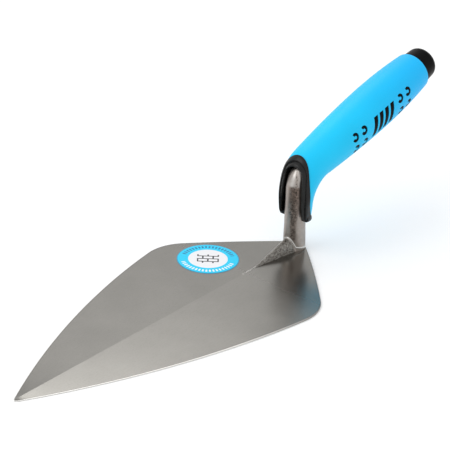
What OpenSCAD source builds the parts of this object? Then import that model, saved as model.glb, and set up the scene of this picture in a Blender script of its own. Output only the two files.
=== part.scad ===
// Brick trowel: ground blade, forged cranked shank and a two-colour moulded grip.
// The origin lies on the flat underside of the blade, straight below the crossing of the post's axis
// and the grip's axis.
// +X points to the toe, +Y to the trowel's left and +Z up. Sizes are in millimetres.

/* [Blade] */
// Length of the blade from toe to heel
blade_length = 279; // [240:1:320]
// Greatest width of the blade
blade_width = 138.5; // [120:0.5:160]
// Distance from the heel forward to the widest place
shoulder_from_heel = 79; // [72:0.5:95]
// Radius of the rounded shoulders
shoulder_radius = 33; // [15:1:40]
// Radius of the long curved sides
side_radius = 600; // [500:10:1000]
// Radius of the toe's tip
toe_radius = 2; // [1.5:0.5:8]
// Radius of the two sides of the heel, between the shoulders and the corner
heel_side_radius = 800; // [400:10:1200]
// Radius of the heel's corner
heel_radius = 12.5; // [6:0.5:16]
// Thickness on the ridge at the heel
heel_thickness = 1.6; // [1.4:0.1:2.4]
// Thickness on the ridge at the toe
toe_thickness = 1.3; // [0.9:0.1:1.5]
// Thickness at the edge of the shoulders
edge_thickness = 1.2; // [0.8:0.1:1.3]

/* [Shank] */
// Distance from the heel forward to the place below the crossing of the two axes
post_inset = 9; // [7:0.5:16]
// Diameter of the post at the blade
post_base_d = 16.2; // [14.4:0.1:17.4]
// Diameter of the bent bar
bar_d = 13.8; // [12:0.1:14.6]
// Angle by which the post leans back towards its foot
post_lean = 2.5; // [0:0.25:4]
// Height at which the post's axis meets the grip's axis
axis_height = 58; // [52:0.5:70]
// Bend radius of the bar's axis
bend_radius = 14; // [10:0.5:15]
// Angle at which the grip rises towards its butt
grip_rise = 15.75; // [10:0.25:22]
// Length of the forged foot, from below the crossing of the axes to its tip on the ridge
foot_length = 42; // [30:1:60]
// Width of the forged foot at the post
foot_width = 13.6; // [11:0.2:15.8]
// Height of the forged foot on the post's axis
foot_height = 13; // [9:0.2:17]
// Width of the foot's thin tip
foot_tip_width = 1.2; // [1:0.1:3]

/* [Tang] */
// Length of stout bar between the bend and the tang
bar_run = 5.5; // [4:0.5:8]
// Step by which the bar is drawn down below and behind the bend
bar_step = 0.2; // [0.15:0.05:0.6]
// Diameter of the tang
tang_d = 10; // [8:0.2:11]
// Length of the tang
tang_length = 84; // [76:1:100]
// Number of keying grooves round the tang
groove_count = 3; // [1:1:4]
// Spacing of the keying grooves
groove_pitch = 20; // [12:1:20]
// Width of a keying groove
groove_width = 4; // [2:0.5:6]
// Depth of a keying groove
groove_depth = 0.6; // [0.3:0.1:1]
// Clearance between the tang and its socket
tang_clearance = 0.1; // [0.05:0.05:0.2]

/* [Grip] */
// Distance from the crossing of the axes back to the rear of the finger guard
guard_back = 12; // [11:0.1:15]
// Distance from the crossing of the axes forward to the nose of the grip
guard_front = 4.5; // [3.5:0.1:6]
// Width of the finger guard
guard_width = 25; // [23:0.5:28]
// Straight depth of the guard below the finger curve
guard_skirt = 10.2; // [5:0.2:12]
// Radius of the rounded edge round the guard's lower end
guard_edge = 0.8; // [0.5:0.1:1.6]
// Angle by which the guard's lower end falls towards its rear
guard_tilt = 10; // [0:1:14]
// Distance by which the guard is drawn in at its lower end
guard_taper = 0.6; // [0:0.1:1.5]
// Radius of the finger curve between the guard and the barrel
finger_radius = 15.2; // [12:0.2:20]
// Diameter of the barrel where the finger curve ends
neck_d = 28.2; // [26.6:0.2:32]
// Greatest diameter of the barrel
belly_d = 34.4; // [32:0.2:38]
// Diameter of the barrel at its butt end
butt_d = 29.2; // [28.8:0.2:32]
// Place of the greatest diameter, along the grip's axis
belly_at = 92.5; // [84:0.5:100]
// End of the sleeve, along the grip's axis
barrel_end = 144; // [140:0.5:160]
// Wall of the soft sleeve over the core
sleeve_wall = 3; // [2.6:0.1:4]
// Angle by which the top of the nose dips below the grip's axis
nose_dip = 3.5; // [0:0.5:6]
// Sharpness of the nose's upper corner
nose_sharpness = 7; // [6:1:24]

/* [Nose collar] */
// Height of the collar's rim under the finger guard
rim_height = 4.4; // [2:0.1:5.4]
// Distance by which the rolled rim stands out of the guard's sides and back
rim_proud = 0.7; // [0.3:0.1:1.2]
// Distance by which the collar stands out of the sleeve over the nose
collar_proud = 0.8; // [0.3:0.1:1.4]
// Height above the blade's underside at which the collar's seam comes furthest forward
seam_middle = 52; // [44:0.5:60]
// Distance of the seam's middle ahead of the crossing of the axes
seam_ahead = 0.7; // [0:0.1:1.5]
// Radius of the bowed seam
seam_radius = 62; // [55:1:120]
// Height of the arch's inner top above the blade's underside
arch_height = 64.5; // [63:0.1:66.5]
// Width of the arch between the lower ends of the collar's two legs
arch_foot = 18.2; // [17:0.1:19.4]
// Radius of the rounded lower ends of the legs
leg_round = 3; // [1:0.1:4]
// Depth of the arch into the sleeve behind the crossing of the axes
arch_depth = 3; // [1:0.5:4]
// Thickness of the collar's lining inside the arch
arch_lining = 1.2; // [0.8:0.1:1.6]
// Clearance between the post and what surrounds it
post_clearance = 0.25; // [0.1:0.05:0.5]

/* [End cap] */
// Diameter of the cap
cap_d = 26.3; // [24:0.1:28.8]
// Length of the cap behind the sleeve
cap_length = 17.5; // [11:0.5:20]
// Distance by which the cap's radius is less at its rim than at the sleeve
cap_taper = 0.8; // [0:0.1:1.5]
// Radius of the cap's rounded rim
cap_corner = 5.5; // [3:0.5:8]
// Height of the cap's domed end
cap_dome = 1; // [0.4:0.1:2]
// Diameter of the spigot in the core
spigot_d = 14; // [8:0.5:16]
// Length of the spigot in the core
spigot_length = 10; // [5:0.5:14]

/* [Inlays] */
// Outer diameter of a ring
ring_d = 6.9; // [4.5:0.1:7.4]
// Diameter of the blue dot inside a ring
ring_dot_d = 2.5; // [2:0.1:3.6]
// Angle of a ring's opening towards the nose
ring_gap = 75; // [40:5:120]
// Angle by which the opening is turned up
ring_gap_lift = 20; // [0:5:45]
// Depth of a ring's face below the sleeve
ring_recess = 0.3; // [0.2:0.1:1]
// Thickness of a ring
ring_thickness = 1.2; // [0.6:0.1:1.4]
// Spacing of the rings along the grip
ring_pitch = 10; // [8:0.5:11]
// Spacing of the two rows round the grip
ring_row_gap = 10.8; // [8:0.1:13]
// Angle by which the middle of the two rows lies below the grip's side
ring_drop = 2; // [0:0.5:8]
// Place of the first ring of the front group, along the grip's axis
front_rings_at = 50.5; // [44:0.5:52]
// Place of the first ring of the rear group, along the grip's axis
rear_rings_at = 105; // [103.5:0.5:115]
// Number of slanted bars
bar_count = 4; // [2:1:4]
// Width of a bar along the grip
bar_width = 4.4; // [2:0.1:5]
// Spacing of the bars along the grip
bar_pitch = 6.6; // [5.4:0.1:7]
// Height of a bar round the grip
bar_height = 15; // [8:0.5:16]
// Shift of a bar's upper end towards the butt
bar_slant = 5; // [0:0.5:6]
// Middle of the row of bars, along the grip's axis
bars_at = 83; // [81.5:0.5:84.5]
// Depth of a bar's face below the sleeve
bar_recess = 0.25; // [0.15:0.05:0.6]
// Thickness of a bar
bar_thickness = 1.4; // [0.8:0.1:1.6]
// Clearance round an inlay in its pocket
inlay_clearance = 0.05; // [0.02:0.01:0.1]

/* [Label] */
// Diameter of the round label
label_d = 43.5; // [30:0.5:46]
// Thickness of the label
label_thickness = 0.2; // [0.1:0.05:0.4]
// Distance of the label's centre ahead of the crossing of the axes
label_ahead = 54.5; // [50:0.5:90]
// Distance of the label's centre to the right of the ridge
label_aside = 32; // [24:0.25:33]

/* [Hidden] */
$fn = 64;

LEFT = 1;
RIGHT = -1;
ground_steel = [0.62, 0.61, 0.59];
forged_steel = [0.44, 0.41, 0.39];
grip_blue = [0.12, 0.68, 0.97];
moulded_black = [0.09, 0.09, 0.09];
label_blue = [0.25, 0.76, 0.97];

// How far the cutting blocks reach past what they cut
reach = 60;
past = 1;

// Blade plan
heel_x = -post_inset;
toe_x = blade_length - post_inset;
widest_x = heel_x + shoulder_from_heel;
shoulder_centre = [widest_x, blade_width / 2 - shoulder_radius];
toe_centre = [toe_x - toe_radius, 0];
heel_centre = [heel_x + heel_radius, 0];
// Tilts of the two top faces
ridge_fall = atan((heel_thickness - toe_thickness) / blade_length);
widest_thickness = heel_thickness - shoulder_from_heel * tan(ridge_fall);
face_fall = atan((widest_thickness - edge_thickness) / (blade_width / 2));

// Bent bar
bend_angle = 90 - grip_rise;
bar_turn = bend_angle + post_lean;
bend_run = bend_radius * tan(bar_turn / 2);
post_length = axis_height / cos(post_lean);
post_shift = axis_height * tan(post_lean);
bar_end = bend_run + bar_run;
tang_end = bar_end + tang_length;
tang_tip = 1.5;

// Finger curve: its centre lies below the barrel and behind the guard
neck_at = (guard_back + finger_radius - sin(grip_rise) * (neck_d / 2 + finger_radius)) / cos(grip_rise);
finger_x = -guard_back - finger_radius;
finger_z = axis_height + neck_at * sin(grip_rise) - (neck_d / 2 + finger_radius) * cos(grip_rise);
guard_bottom = finger_z - guard_skirt;
nose_reach = guard_front - finger_x;
neck_reach = finger_radius + neck_d;
rim_top = guard_bottom + rim_height;
leg_bottom = guard_bottom + guard_front * tan(guard_tilt);

// Where the guard is widest, ahead of the finger curve's centre
guard_middle = finger_radius + guard_back;
// Squareness of the guard's section in front and behind: 2 is an ellipse
guard_front_power = 4;
guard_back_power = 2.2;
// Shape of the barrel's swell towards the neck and towards the butt
neck_power = 1.8;
butt_power = 2.1;
// Facets of the moulded skin
skin_sides = 40;
fan_steps = 14;
barrel_steps = 16;
skirt_steps = 5;
rim_steps = 8;
seam_steps = 24;

// Two circles cross here, on the right of the way from a to b
function crossing(a, ra, b, rb) =
    let (
        span = norm(b - a),
        along = (b - a) / span,
        run = (span * span + ra * ra - rb * rb) / (2 * span),
        side = sqrt(ra * ra - run * run)
    )
    a + run * along + side * [along[1], -along[0]];

function heading(v) = atan2(v[1], v[0]);

function blend(a, b, u) = a + (b - a) * u;

function arc(centre, radius, from, to, steps) = [
    for (i = [0 : steps])
        let (a = from + (to - from) * i / steps)
        centre + radius * [cos(a), sin(a)]
];

// Left half of the blade's outline: toe, curved side, shoulder, heel side and heel
function left_outline() =
    let (
        side_centre = crossing(
            shoulder_centre, side_radius - shoulder_radius,
            toe_centre, side_radius - toe_radius
        ),
        toe_turn = heading(toe_centre - side_centre),
        shoulder_turn = heading(shoulder_centre - side_centre),
        heel_side_centre = crossing(
            heel_centre, heel_side_radius - heel_radius,
            shoulder_centre, heel_side_radius - shoulder_radius
        ),
        back_turn = heading(shoulder_centre - heel_side_centre),
        heel_turn = heading(heel_centre - heel_side_centre)
    )
    concat(
        arc(toe_centre, toe_radius, 0, toe_turn, 6),
        arc(side_centre, side_radius, toe_turn, shoulder_turn, 28),
        arc(shoulder_centre, shoulder_radius, shoulder_turn, back_turn, 12),
        arc(heel_side_centre, heel_side_radius, back_turn, heel_turn, 10),
        arc(heel_centre, heel_radius, heel_turn, 180, 6)
    );

function mirrored(points) = [
    for (i = [len(points) - 2 : -1 : 1])
        [points[i][0], -points[i][1]]
];

// Carries its children onto one half of the blade's top, with the ridge along x from the heel
module on_blade_top(side) {
    translate([heel_x, 0, heel_thickness])
        rotate([0, ridge_fall, 0])
            rotate([-side * face_fall, 0, 0])
                children();
}

// Carries its children onto the grip's axis: z runs to the butt, x points up
module along_grip() {
    translate([0, 0, axis_height])
        rotate([0, -bend_angle, 0])
            children();
}

// Carries its children onto the post's axis: z runs up, from the crossing with the grip's axis
module along_post() {
    translate([0, 0, axis_height])
        rotate([0, post_lean, 0])
            children();
}

module blade() {
    outline = left_outline();
    color(ground_steel)
        difference() {
            linear_extrude(heel_thickness)
                polygon(concat(outline, mirrored(outline)));
            for (side = [LEFT, RIGHT])
                on_blade_top(side)
                    translate([-reach, -blade_width, 0])
                        cube([blade_length + 2 * reach, 2 * blade_width, reach]);
        }
}

// Everything below the blade's top round the foot
module below_blade_top() {
    intersection_for(side = [LEFT, RIGHT])
        on_blade_top(side)
            translate([-reach, -reach, -reach])
                cube([foot_length + 2 * reach, 2 * reach, reach]);
}

// Closed solid through a list of rings, each run counterclockwise as the next one sees it
module loft(rings) {
    sides = len(rings[0]);
    last = len(rings) - 1;
    walls = [
        for (k = [0 : last - 1], i = [0 : sides - 1])
            let (
                j = (i + 1) % sides,
                a = k * sides + i,
                b = k * sides + j,
                c = a + sides,
                d = b + sides
            )
            each [[a, c, b], [b, c, d]]
    ];
    first_end = [for (i = [0 : sides - 1]) i];
    last_end = [for (i = [sides - 1 : -1 : 0]) last * sides + i];
    polyhedron([for (ring = rings) each ring], concat(walls, [first_end, last_end]), convexity = 6);
}

// Forged foot: a dome that falls from the post to a thin tip on the ridge, sunk a little in the blade
foot_steps = 10;
foot_sides = 12;
foot_sink = 0.5;
function foot_ring(u) =
    let (
        tip = foot_tip_width / 2,
        x = blend(foot_length, -post_shift, u),
        half = blend(tip, foot_width / 2, u),
        base = heel_thickness - (post_inset + x) * tan(ridge_fall) - foot_sink,
        crest = foot_sink + blend(tip, foot_height - heel_thickness, u)
    )
    concat(
        [
            for (i = [0 : foot_sides])
                let (turn = 180 * i / foot_sides)
                [x, half * cos(turn), base + crest * pow(max(sin(turn), 0), 1.5)]
        ],
        [[x, -half, 0], [x, half, 0]]
    );

module foot() {
    loft([for (i = [0 : foot_steps]) foot_ring(1 - i / foot_steps)]);
}

// The post and its bend, grown by a clearance for the room round them
module bent_bar(grow) {
    slim_d = bar_d - 2 * bar_step + 2 * grow;
    along_post() {
        translate([0, 0, -post_length])
            cylinder(h = post_length - bend_run + past, d1 = post_base_d + 2 * grow, d2 = slim_d);
        translate([-bend_radius, 0, -bend_run])
            rotate([90, 0, 0])
                rotate_extrude(angle = bar_turn)
                    translate([bend_radius, 0])
                        circle(d = bar_d + 2 * grow);
    }
    along_grip()
        translate([0, 0, bend_run - past])
            cylinder(h = bar_run + past, d = slim_d);
}

function groove_start(i) = bar_end + groove_pitch * (i + 1) - groove_width / 2;

// Half section of the tang, grown by a clearance
function tang_side(grow) =
    let (
        r = tang_d / 2 + grow,
        root = r - groove_depth
    )
    concat(
        [[0, bar_end - past], [r, bar_end - past]],
        [
            for (i = [0 : groove_count - 1])
                let (
                    a = groove_start(i) + grow,
                    b = groove_start(i) + groove_width - grow
                )
                each [[r, a], [root, a], [root, b], [r, b]]
        ],
        [[r, tang_end - tang_tip + grow], [r - tang_tip, tang_end + grow], [0, tang_end + grow]]
    );

module tang(grow) {
    along_grip()
        rotate_extrude()
            polygon(tang_side(grow));
}

module shank() {
    color(forged_steel)
        difference() {
            union() {
                bent_bar(0);
                foot();
                tang(0);
            }
            below_blade_top();
        }
}

// Radius of the grip's barrel at a place along its axis
function barrel_r(t) =
    t < belly_at
        ? (belly_d - (belly_d - neck_d) * pow((belly_at - t) / (belly_at - neck_at), neck_power)) / 2
        : (belly_d - (belly_d - butt_d) * pow((t - belly_at) / (barrel_end - belly_at), butt_power)) / 2;

// From the finger curve's centre to the outside of the nose, in the direction a
function nose_distance(a) =
    let (
        front = nose_reach / cos(a),
        top = neck_reach * cos(nose_dip) / cos(bend_angle - nose_dip - a)
    )
    pow(pow(front, -nose_sharpness) + pow(top, -nose_sharpness), -1 / nose_sharpness);

// A station of the skin: middle x and z, outward direction, front, back and side reach, two powers
function fan_station(a, proud) =
    let (
        u = a / bend_angle,
        middle = blend(guard_middle, finger_radius + neck_d / 2, u),
        grow = proud * sin(180 * u)
    )
    [
        finger_x + middle * cos(a), finger_z + middle * sin(a), a,
        nose_distance(a) - middle + grow, middle - finger_radius,
        blend(guard_width, neck_d, u) / 2 + grow,
        blend(2, guard_front_power, pow(1 - u, 3)), blend(guard_back_power, 2, u)
    ];

function barrel_station(t) =
    let (r = barrel_r(t))
    [-t * cos(grip_rise), axis_height + t * sin(grip_rise), bend_angle, r, r, r, 2, 2];

// A station below the fan: its first station moved down, tilted and drawn in at the front and round the rest
function below_fan(drop, front_inset, inset) =
    let (s = fan_station(0, 0))
    [s[0], s[1] - drop, guard_tilt, s[3] - front_inset, s[4] - inset, s[5] - inset, s[6], s[7]];

// The guard's lower end, rounded off well at the front of the legs
function skirt_station(a) =
    let (short = 1 - sin(a))
    below_fan(
        guard_skirt - leg_round * (1 - cos(a)),
        guard_taper + leg_round * short, guard_taper + guard_edge * short
    );

// The rolled rim, from its lower to its upper edge
function rim_station(a) =
    below_fan(
        guard_skirt - rim_height * (1 + sin(a)) / 2,
        guard_taper + leg_round, guard_taper + guard_edge - (guard_edge + rim_proud) * cos(a)
    );

function guard_stations(proud) = concat(
    [for (i = [0 : skirt_steps]) skirt_station(90 * i / skirt_steps)],
    [for (i = [0 : fan_steps]) fan_station(bend_angle * i / fan_steps, proud)]
);
rim_stations = [for (i = [0 : rim_steps]) rim_station(180 * i / rim_steps - 90)];
barrel_stations = [
    for (i = [1 : barrel_steps])
        barrel_station(blend(neck_at, barrel_end, i / barrel_steps))
];

function squared(v, power) = sign(v) * pow(abs(v), 2 / power);

function ring_of(s) = [
    for (i = [0 : skin_sides - 1])
        let (
            turn = 360 * i / skin_sides,
            ahead = cos(turn) >= 0,
            power = ahead ? s[6] : s[7],
            out = (ahead ? s[3] : s[4]) * squared(cos(turn), power)
        )
        [s[0] + out * cos(s[2]), s[5] * squared(sin(turn), power), s[1] + out * sin(s[2])]
];

// Closed skin through a list of stations
module skin(stations) {
    loft([for (s = stations) ring_of(s)]);
}

// Front view of the arch: round above, splayed towards the rounded lower ends of the legs
arch_r = bar_d / 2 + post_clearance;
module arch_view() {
    mouth = arch_foot + 2 * leg_round;
    hull() {
        translate([0, arch_height - arch_r])
            circle(arch_r);
        translate([-arch_foot / 2, leg_bottom - past])
            square([arch_foot, past]);
    }
    difference() {
        translate([-mouth / 2, leg_bottom - past])
            square([mouth, past + leg_round]);
        for (side = [LEFT, RIGHT])
            translate([side * mouth / 2, leg_bottom + leg_round])
                circle(leg_round);
    }
}

// The arch through which the bar enters the nose, grown by a lining
module arch(grow) {
    translate([-arch_depth - grow, 0, 0])
        rotate([90, 0, 90])
            linear_extrude(reach)
                offset(grow)
                    arch_view();
}

// Room for the bent bar where it passes the grip
module bar_room() {
    bent_bar(post_clearance);
    arch(0);
}

// Everything ahead of the collar's seam, which bows back above and below its middle
module ahead_of_seam() {
    rotate([90, 0, 0])
        linear_extrude(2 * reach, center = true)
            polygon(concat(
                [[reach, 0], [reach, axis_height + reach]],
                arc([seam_ahead - seam_radius, seam_middle], seam_radius, 45, -45, seam_steps)
            ));
}

// The collar's share of the grip: the front of the nose, the arch's lining and the rim under the guard
module collar_share() {
    arch(arch_lining);
    ahead_of_seam();
    translate([0, 0, rim_top])
        rotate([0, -guard_tilt, 0])
            translate([-reach, -reach, -reach])
                cube([2 * reach, 2 * reach, reach]);
}

// The core's outside, one sleeve wall inside the barrel
module core_body() {
    side = [
        for (i = [0 : barrel_steps])
            let (t = blend(neck_at, barrel_end, i / barrel_steps))
            [barrel_r(t) - sleeve_wall, t]
    ];
    along_grip()
        rotate_extrude()
            polygon(concat(
                [[0, bar_end], [neck_d / 2 - sleeve_wall, bar_end]],
                side,
                [[0, barrel_end]]
            ));
}

module spigot() {
    along_grip()
        translate([0, 0, barrel_end - spigot_length])
            cylinder(h = spigot_length, d = spigot_d);
}

module handle_core() {
    color(moulded_black)
        difference() {
            core_body();
            tang(tang_clearance);
            spigot();
        }
}

// Outline of an open ring, its opening turned towards x
module open_ring(grow) {
    half_gap = ring_gap / 2;
    apex = grow / sin(half_gap);
    difference() {
        circle(d = ring_d + 2 * grow);
        circle(d = ring_dot_d - 2 * grow);
        translate([apex, 0])
            polygon(concat([[0, 0]], [for (end = [-1, 1]) ring_d * [cos(half_gap), end * sin(half_gap)]]));
    }
}

ring_depth = ring_recess + ring_thickness;
// One ring let into the sleeve, in a row above or below the middle of its side
module ring_at(t, side, row, height, grow) {
    half_turn = ring_row_gap / belly_d * 180 / PI;
    along_grip()
        rotate([0, 0, side * (90 + ring_drop + row * half_turn)])
            translate([barrel_r(t) - ring_depth, 0, t])
                rotate([0, 90, 0])
                    rotate([0, 0, -side * ring_gap_lift])
                        linear_extrude(height)
                            open_ring(grow);
}

module ring_group(first, side, height, grow) {
    for (along = [0, 1], row = [-1, 1])
        ring_at(first + along * ring_pitch, side, row, height, grow);
}

// Plain bars in a row, seen square to the side of the grip
module bar_row(side, grow) {
    half_h = bar_height / 2 + grow;
    half_w = bar_width / 2 + grow;
    slope = bar_slant / bar_height;
    along_grip()
        rotate([0, 0, side * 90])
            rotate([0, 90, 0])
                for (i = [0 : bar_count - 1]) {
                    middle = bars_at + (i - (bar_count - 1) / 2) * bar_pitch;
                    linear_extrude(belly_d)
                        polygon([
                            for (end = [-1, 1], edge = [-end, end])
                                [
                                    -middle - edge * half_w - end * slope * half_h,
                                    -side * end * half_h
                                ]
                        ]);
                }
}

// Shell between two depths below the barrel's surface, along the bars
module barrel_shell(outer_depth, inner_depth) {
    span = bar_count * bar_pitch / 2 + bar_slant;
    steps = 8;
    places = [for (i = [0 : steps]) bars_at - span + 2 * span * i / steps];
    outer = [for (t = places) [barrel_r(t) - outer_depth, t]];
    inner = [for (i = [steps : -1 : 0]) [barrel_r(places[i]) - inner_depth, places[i]]];
    along_grip()
        rotate_extrude()
            polygon(concat(outer, inner));
}

bar_depth = bar_recess + bar_thickness;
module bar_inlays(side) {
    color(moulded_black)
        intersection() {
            bar_row(side, 0);
            barrel_shell(bar_recess, bar_depth);
        }
}

module bar_pockets(side) {
    intersection() {
        bar_row(side, inlay_clearance);
        barrel_shell(-past, bar_depth);
    }
}

module grip_sleeve() {
    color(grip_blue)
        difference() {
            skin(concat(guard_stations(0), barrel_stations));
            collar_share();
            bar_room();
            core_body();
            for (side = [LEFT, RIGHT]) {
                bar_pockets(side);
                for (first = [front_rings_at, rear_rings_at])
                    ring_group(first, side, ring_depth + past, inlay_clearance);
            }
        }
}

module nose_collar() {
    color(moulded_black)
        difference() {
            union() {
                intersection() {
                    skin(guard_stations(collar_proud));
                    collar_share();
                }
                difference() {
                    skin(rim_stations);
                    ahead_of_seam();
                }
            }
            bar_room();
        }
}

module end_cap() {
    rim_at = barrel_end + cap_length - cap_dome - cap_corner;
    rim = arc([cap_d / 2 - cap_taper - cap_corner, rim_at], cap_corner, 0, 90, 8);
    color(moulded_black) {
        along_grip()
            rotate_extrude()
                polygon(concat(
                    [[0, barrel_end], [cap_d / 2, barrel_end]],
                    rim,
                    [[0, barrel_end + cap_length]]
                ));
        spigot();
    }
}

module ring_inlays(first, side) {
    color(moulded_black)
        ring_group(first, side, ring_thickness, 0);
}

module label() {
    color(label_blue)
        on_blade_top(RIGHT)
            translate([label_ahead - heel_x, -label_aside, 0])
                cylinder(h = label_thickness, d = label_d);
}

blade();
shank();
handle_core();
grip_sleeve();
nose_collar();
end_cap();
ring_inlays(front_rings_at, LEFT);  // ring_inlays_front_left
ring_inlays(rear_rings_at, LEFT);  // ring_inlays_rear_left
ring_inlays(front_rings_at, RIGHT);  // ring_inlays_front_right
ring_inlays(rear_rings_at, RIGHT);  // ring_inlays_rear_right
bar_inlays(LEFT);  // bar_inlays_left
bar_inlays(RIGHT);  // bar_inlays_right
label();
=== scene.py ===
"""Looks of a brick trowel: a ground blade, a forged cranked shank and a two-colour moulded grip.

Everything is in metres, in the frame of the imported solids: the origin lies on the blade's underside
below the crossing of the post's and the grip's axes, +X points to the toe, +Y to the trowel's left
and +Z up.
"""

import math

import bmesh
import bpy
import numpy as np
from mathutils import Matrix, Vector, noise


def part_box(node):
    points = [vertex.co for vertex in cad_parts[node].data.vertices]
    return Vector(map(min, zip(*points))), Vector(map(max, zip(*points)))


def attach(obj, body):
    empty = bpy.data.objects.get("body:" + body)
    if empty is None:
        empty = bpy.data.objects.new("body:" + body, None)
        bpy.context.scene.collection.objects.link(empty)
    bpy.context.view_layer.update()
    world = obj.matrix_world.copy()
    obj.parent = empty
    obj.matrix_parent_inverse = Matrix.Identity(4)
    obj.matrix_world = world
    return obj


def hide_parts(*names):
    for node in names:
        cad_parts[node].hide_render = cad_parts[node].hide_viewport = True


bl_info = {
    "name": "Brick Trowel",
    "version": (1, 0, 0),
    "blender": (4, 5, 0),
    "location": "3D View > Sidebar > Trowel",
    "description": "Dresses the packed solids of a brick trowel and sets its studio",
    "category": "Add Mesh",
}

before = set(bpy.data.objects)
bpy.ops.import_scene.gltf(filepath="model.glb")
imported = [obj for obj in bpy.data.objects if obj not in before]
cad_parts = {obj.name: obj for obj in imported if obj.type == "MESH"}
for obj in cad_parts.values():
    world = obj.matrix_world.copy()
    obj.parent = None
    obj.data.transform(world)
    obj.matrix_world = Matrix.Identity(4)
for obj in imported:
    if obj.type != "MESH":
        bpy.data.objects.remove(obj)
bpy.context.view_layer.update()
BLADE_LOW, BLADE_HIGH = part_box("blade")
BODY = "root"

MM = 0.001
LEFT = 1
RIGHT = -1
WHITE = (1.0, 1.0, 1.0, 1.0)
# How far cutting blocks reach from the origin
REACH = 0.06
# How far a tool stands out of the skin that it cuts
OVERCUT = 1 * MM
# Points closer than this are one point
WELD = 1e-7


def length_of(name, description, millimetres):
    """A length property, given in millimetres."""
    return bpy.props.FloatProperty(
        name=name, description=description, default=millimetres * MM, unit="LENGTH", precision=5
    )


def turn_of(name, description, degrees):
    """An angle property, given in degrees."""
    return bpy.props.FloatProperty(
        name=name, description=description, default=math.radians(degrees), subtype="ANGLE"
    )


def number_of(name, description, value):
    """A plain number property."""
    return bpy.props.FloatProperty(name=name, description=description, default=value, precision=4)


def colour_of(name, description, red, green, blue):
    """A colour property in scene-linear light."""
    return bpy.props.FloatVectorProperty(
        name=name, description=description, default=(red, green, blue),
        subtype="COLOR", size=3, min=0.0, max=1.0,
    )


class BladeSizes(bpy.types.PropertyGroup):
    """Sizes of the ground blade"""

    length: length_of("Length", "Toe to heel", (BLADE_HIGH.x - BLADE_LOW.x) / MM)
    width: length_of("Width", "Across the shoulders", (BLADE_HIGH.y - BLADE_LOW.y) / MM)
    post_inset: length_of("Post inset", "From the heel to below the axes' crossing", -BLADE_LOW.x / MM)
    shoulder_from_heel: length_of("Shoulder", "From the heel forward to the widest place", 79)
    shoulder_radius: length_of("Shoulder radius", "Radius of the rounded shoulders", 33)
    side_radius: length_of("Side radius", "Radius of the long curved sides", 600)
    toe_radius: length_of("Toe radius", "Radius of the toe's tip", 2)
    heel_side_radius: length_of("Heel side radius", "Radius of the heel's two sides", 800)
    heel_radius: length_of("Heel radius", "Radius of the heel's corner", 12.5)
    heel_thickness: length_of("Heel thickness", "On the ridge at the heel", 1.6)
    toe_thickness: length_of("Toe thickness", "On the ridge at the toe", 1.3)
    edge_thickness: length_of("Edge thickness", "At the edge of the shoulders", 1.2)
    toe_edge: length_of("Toe edge", "Thickness at the edge near the toe", 0.55)
    bevel: length_of("Edge bevel", "Broken corner along the top edge", 0.22)


class ShankSizes(bpy.types.PropertyGroup):
    """Sizes of the forged shank"""

    post_base_d: length_of("Post base", "Diameter of the post at the blade", 16.2)
    bar_d: length_of("Bar", "Diameter of the post's top and of the bent bar", 13.8)
    post_lean: turn_of("Post lean", "Angle by which the post leans back towards its foot", 2.5)
    axis_height: length_of("Axis height", "Where the post's axis meets the grip's", 58)
    bend_radius: length_of("Bend radius", "Radius of the bar's axis in the bend", 14)
    grip_rise: turn_of("Grip rise", "Angle at which the grip rises to its butt", 15.75)
    bar_run: length_of("Bar run", "Stout bar between the bend and the tang", 5.5)
    tang_d: length_of("Tang", "Diameter of the tang", 10)
    tang_length: length_of("Tang length", "Length of the tang in the core", 84)
    foot_length: length_of("Foot length", "From below the axes' crossing to the foot's tip", 42)
    tail_length: length_of("Tail length", "Faint tail on the ridge ahead of the foot's tip", 14)
    foot_width: length_of("Foot width", "Width of the foot at the post", 13.6)
    foot_height: length_of("Foot height", "Height of the foot on the post's axis", 13)
    foot_tip_width: length_of("Foot tip", "Width of the foot's thin tip", 1.2)
    bead_d: length_of("Bead", "Thickness of the bead where post and foot meet", 1.05)
    bead_rest: length_of("Bead rest", "Height of the bead's ends over the blade", 1.6)
    tail_height: length_of("Tail height", "Height of the faint tail", 0.35)
    pit_depth: length_of("Pit depth", "Depth of the forging's pits", 0.34)
    ripple_depth: length_of("Ripple depth", "Depth of the forging's slow ripples", 0.1)
    pebble_depth: length_of("Pebble depth", "Depth of the grain on the foot", 0.16)
    nick_depth: length_of("Nick depth", "Depth of the post's nick and of the line in the bend", 0.12)


class GripSizes(bpy.types.PropertyGroup):
    """Sizes of the soft sleeve"""

    guard_back: length_of("Guard back", "From the axes' crossing to the guard's rear", 12)
    guard_front: length_of("Guard front", "From the axes' crossing to the nose", 4.5)
    guard_width: length_of("Guard width", "Width of the finger guard", 25)
    guard_skirt: length_of("Guard skirt", "Straight depth below the finger curve", 10.2)
    guard_edge: length_of("Guard edge", "Rounded edge round the guard's lower end", 0.8)
    guard_tilt: turn_of("Guard tilt", "Fall of the guard's lower end towards its rear", 10)
    guard_taper: length_of("Guard taper", "How far the guard is drawn in at its lower end", 0.6)
    finger_radius: length_of("Finger radius", "Radius of the finger curve", 15.2)
    neck_d: length_of("Neck", "Diameter where the finger curve ends", 28.2)
    belly_d: length_of("Belly", "Greatest diameter of the barrel", 34.4)
    butt_d: length_of("Butt", "Diameter of the barrel at its butt", 29.2)
    belly_at: length_of("Belly place", "Along the grip's axis", 92.5)
    barrel_end: length_of("Barrel end", "Along the grip's axis", 144)
    wall: length_of("Wall", "Soft sleeve over the core", 3)
    butt_lip: length_of("Butt lip", "Rounded edge at the sleeve's end", 0.7)
    nose_dip: turn_of("Nose dip", "Dip of the nose's top below the grip's axis", 3.5)
    nose_sharpness: number_of("Nose sharpness", "Sharpness of the nose's upper corner", 7)


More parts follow.
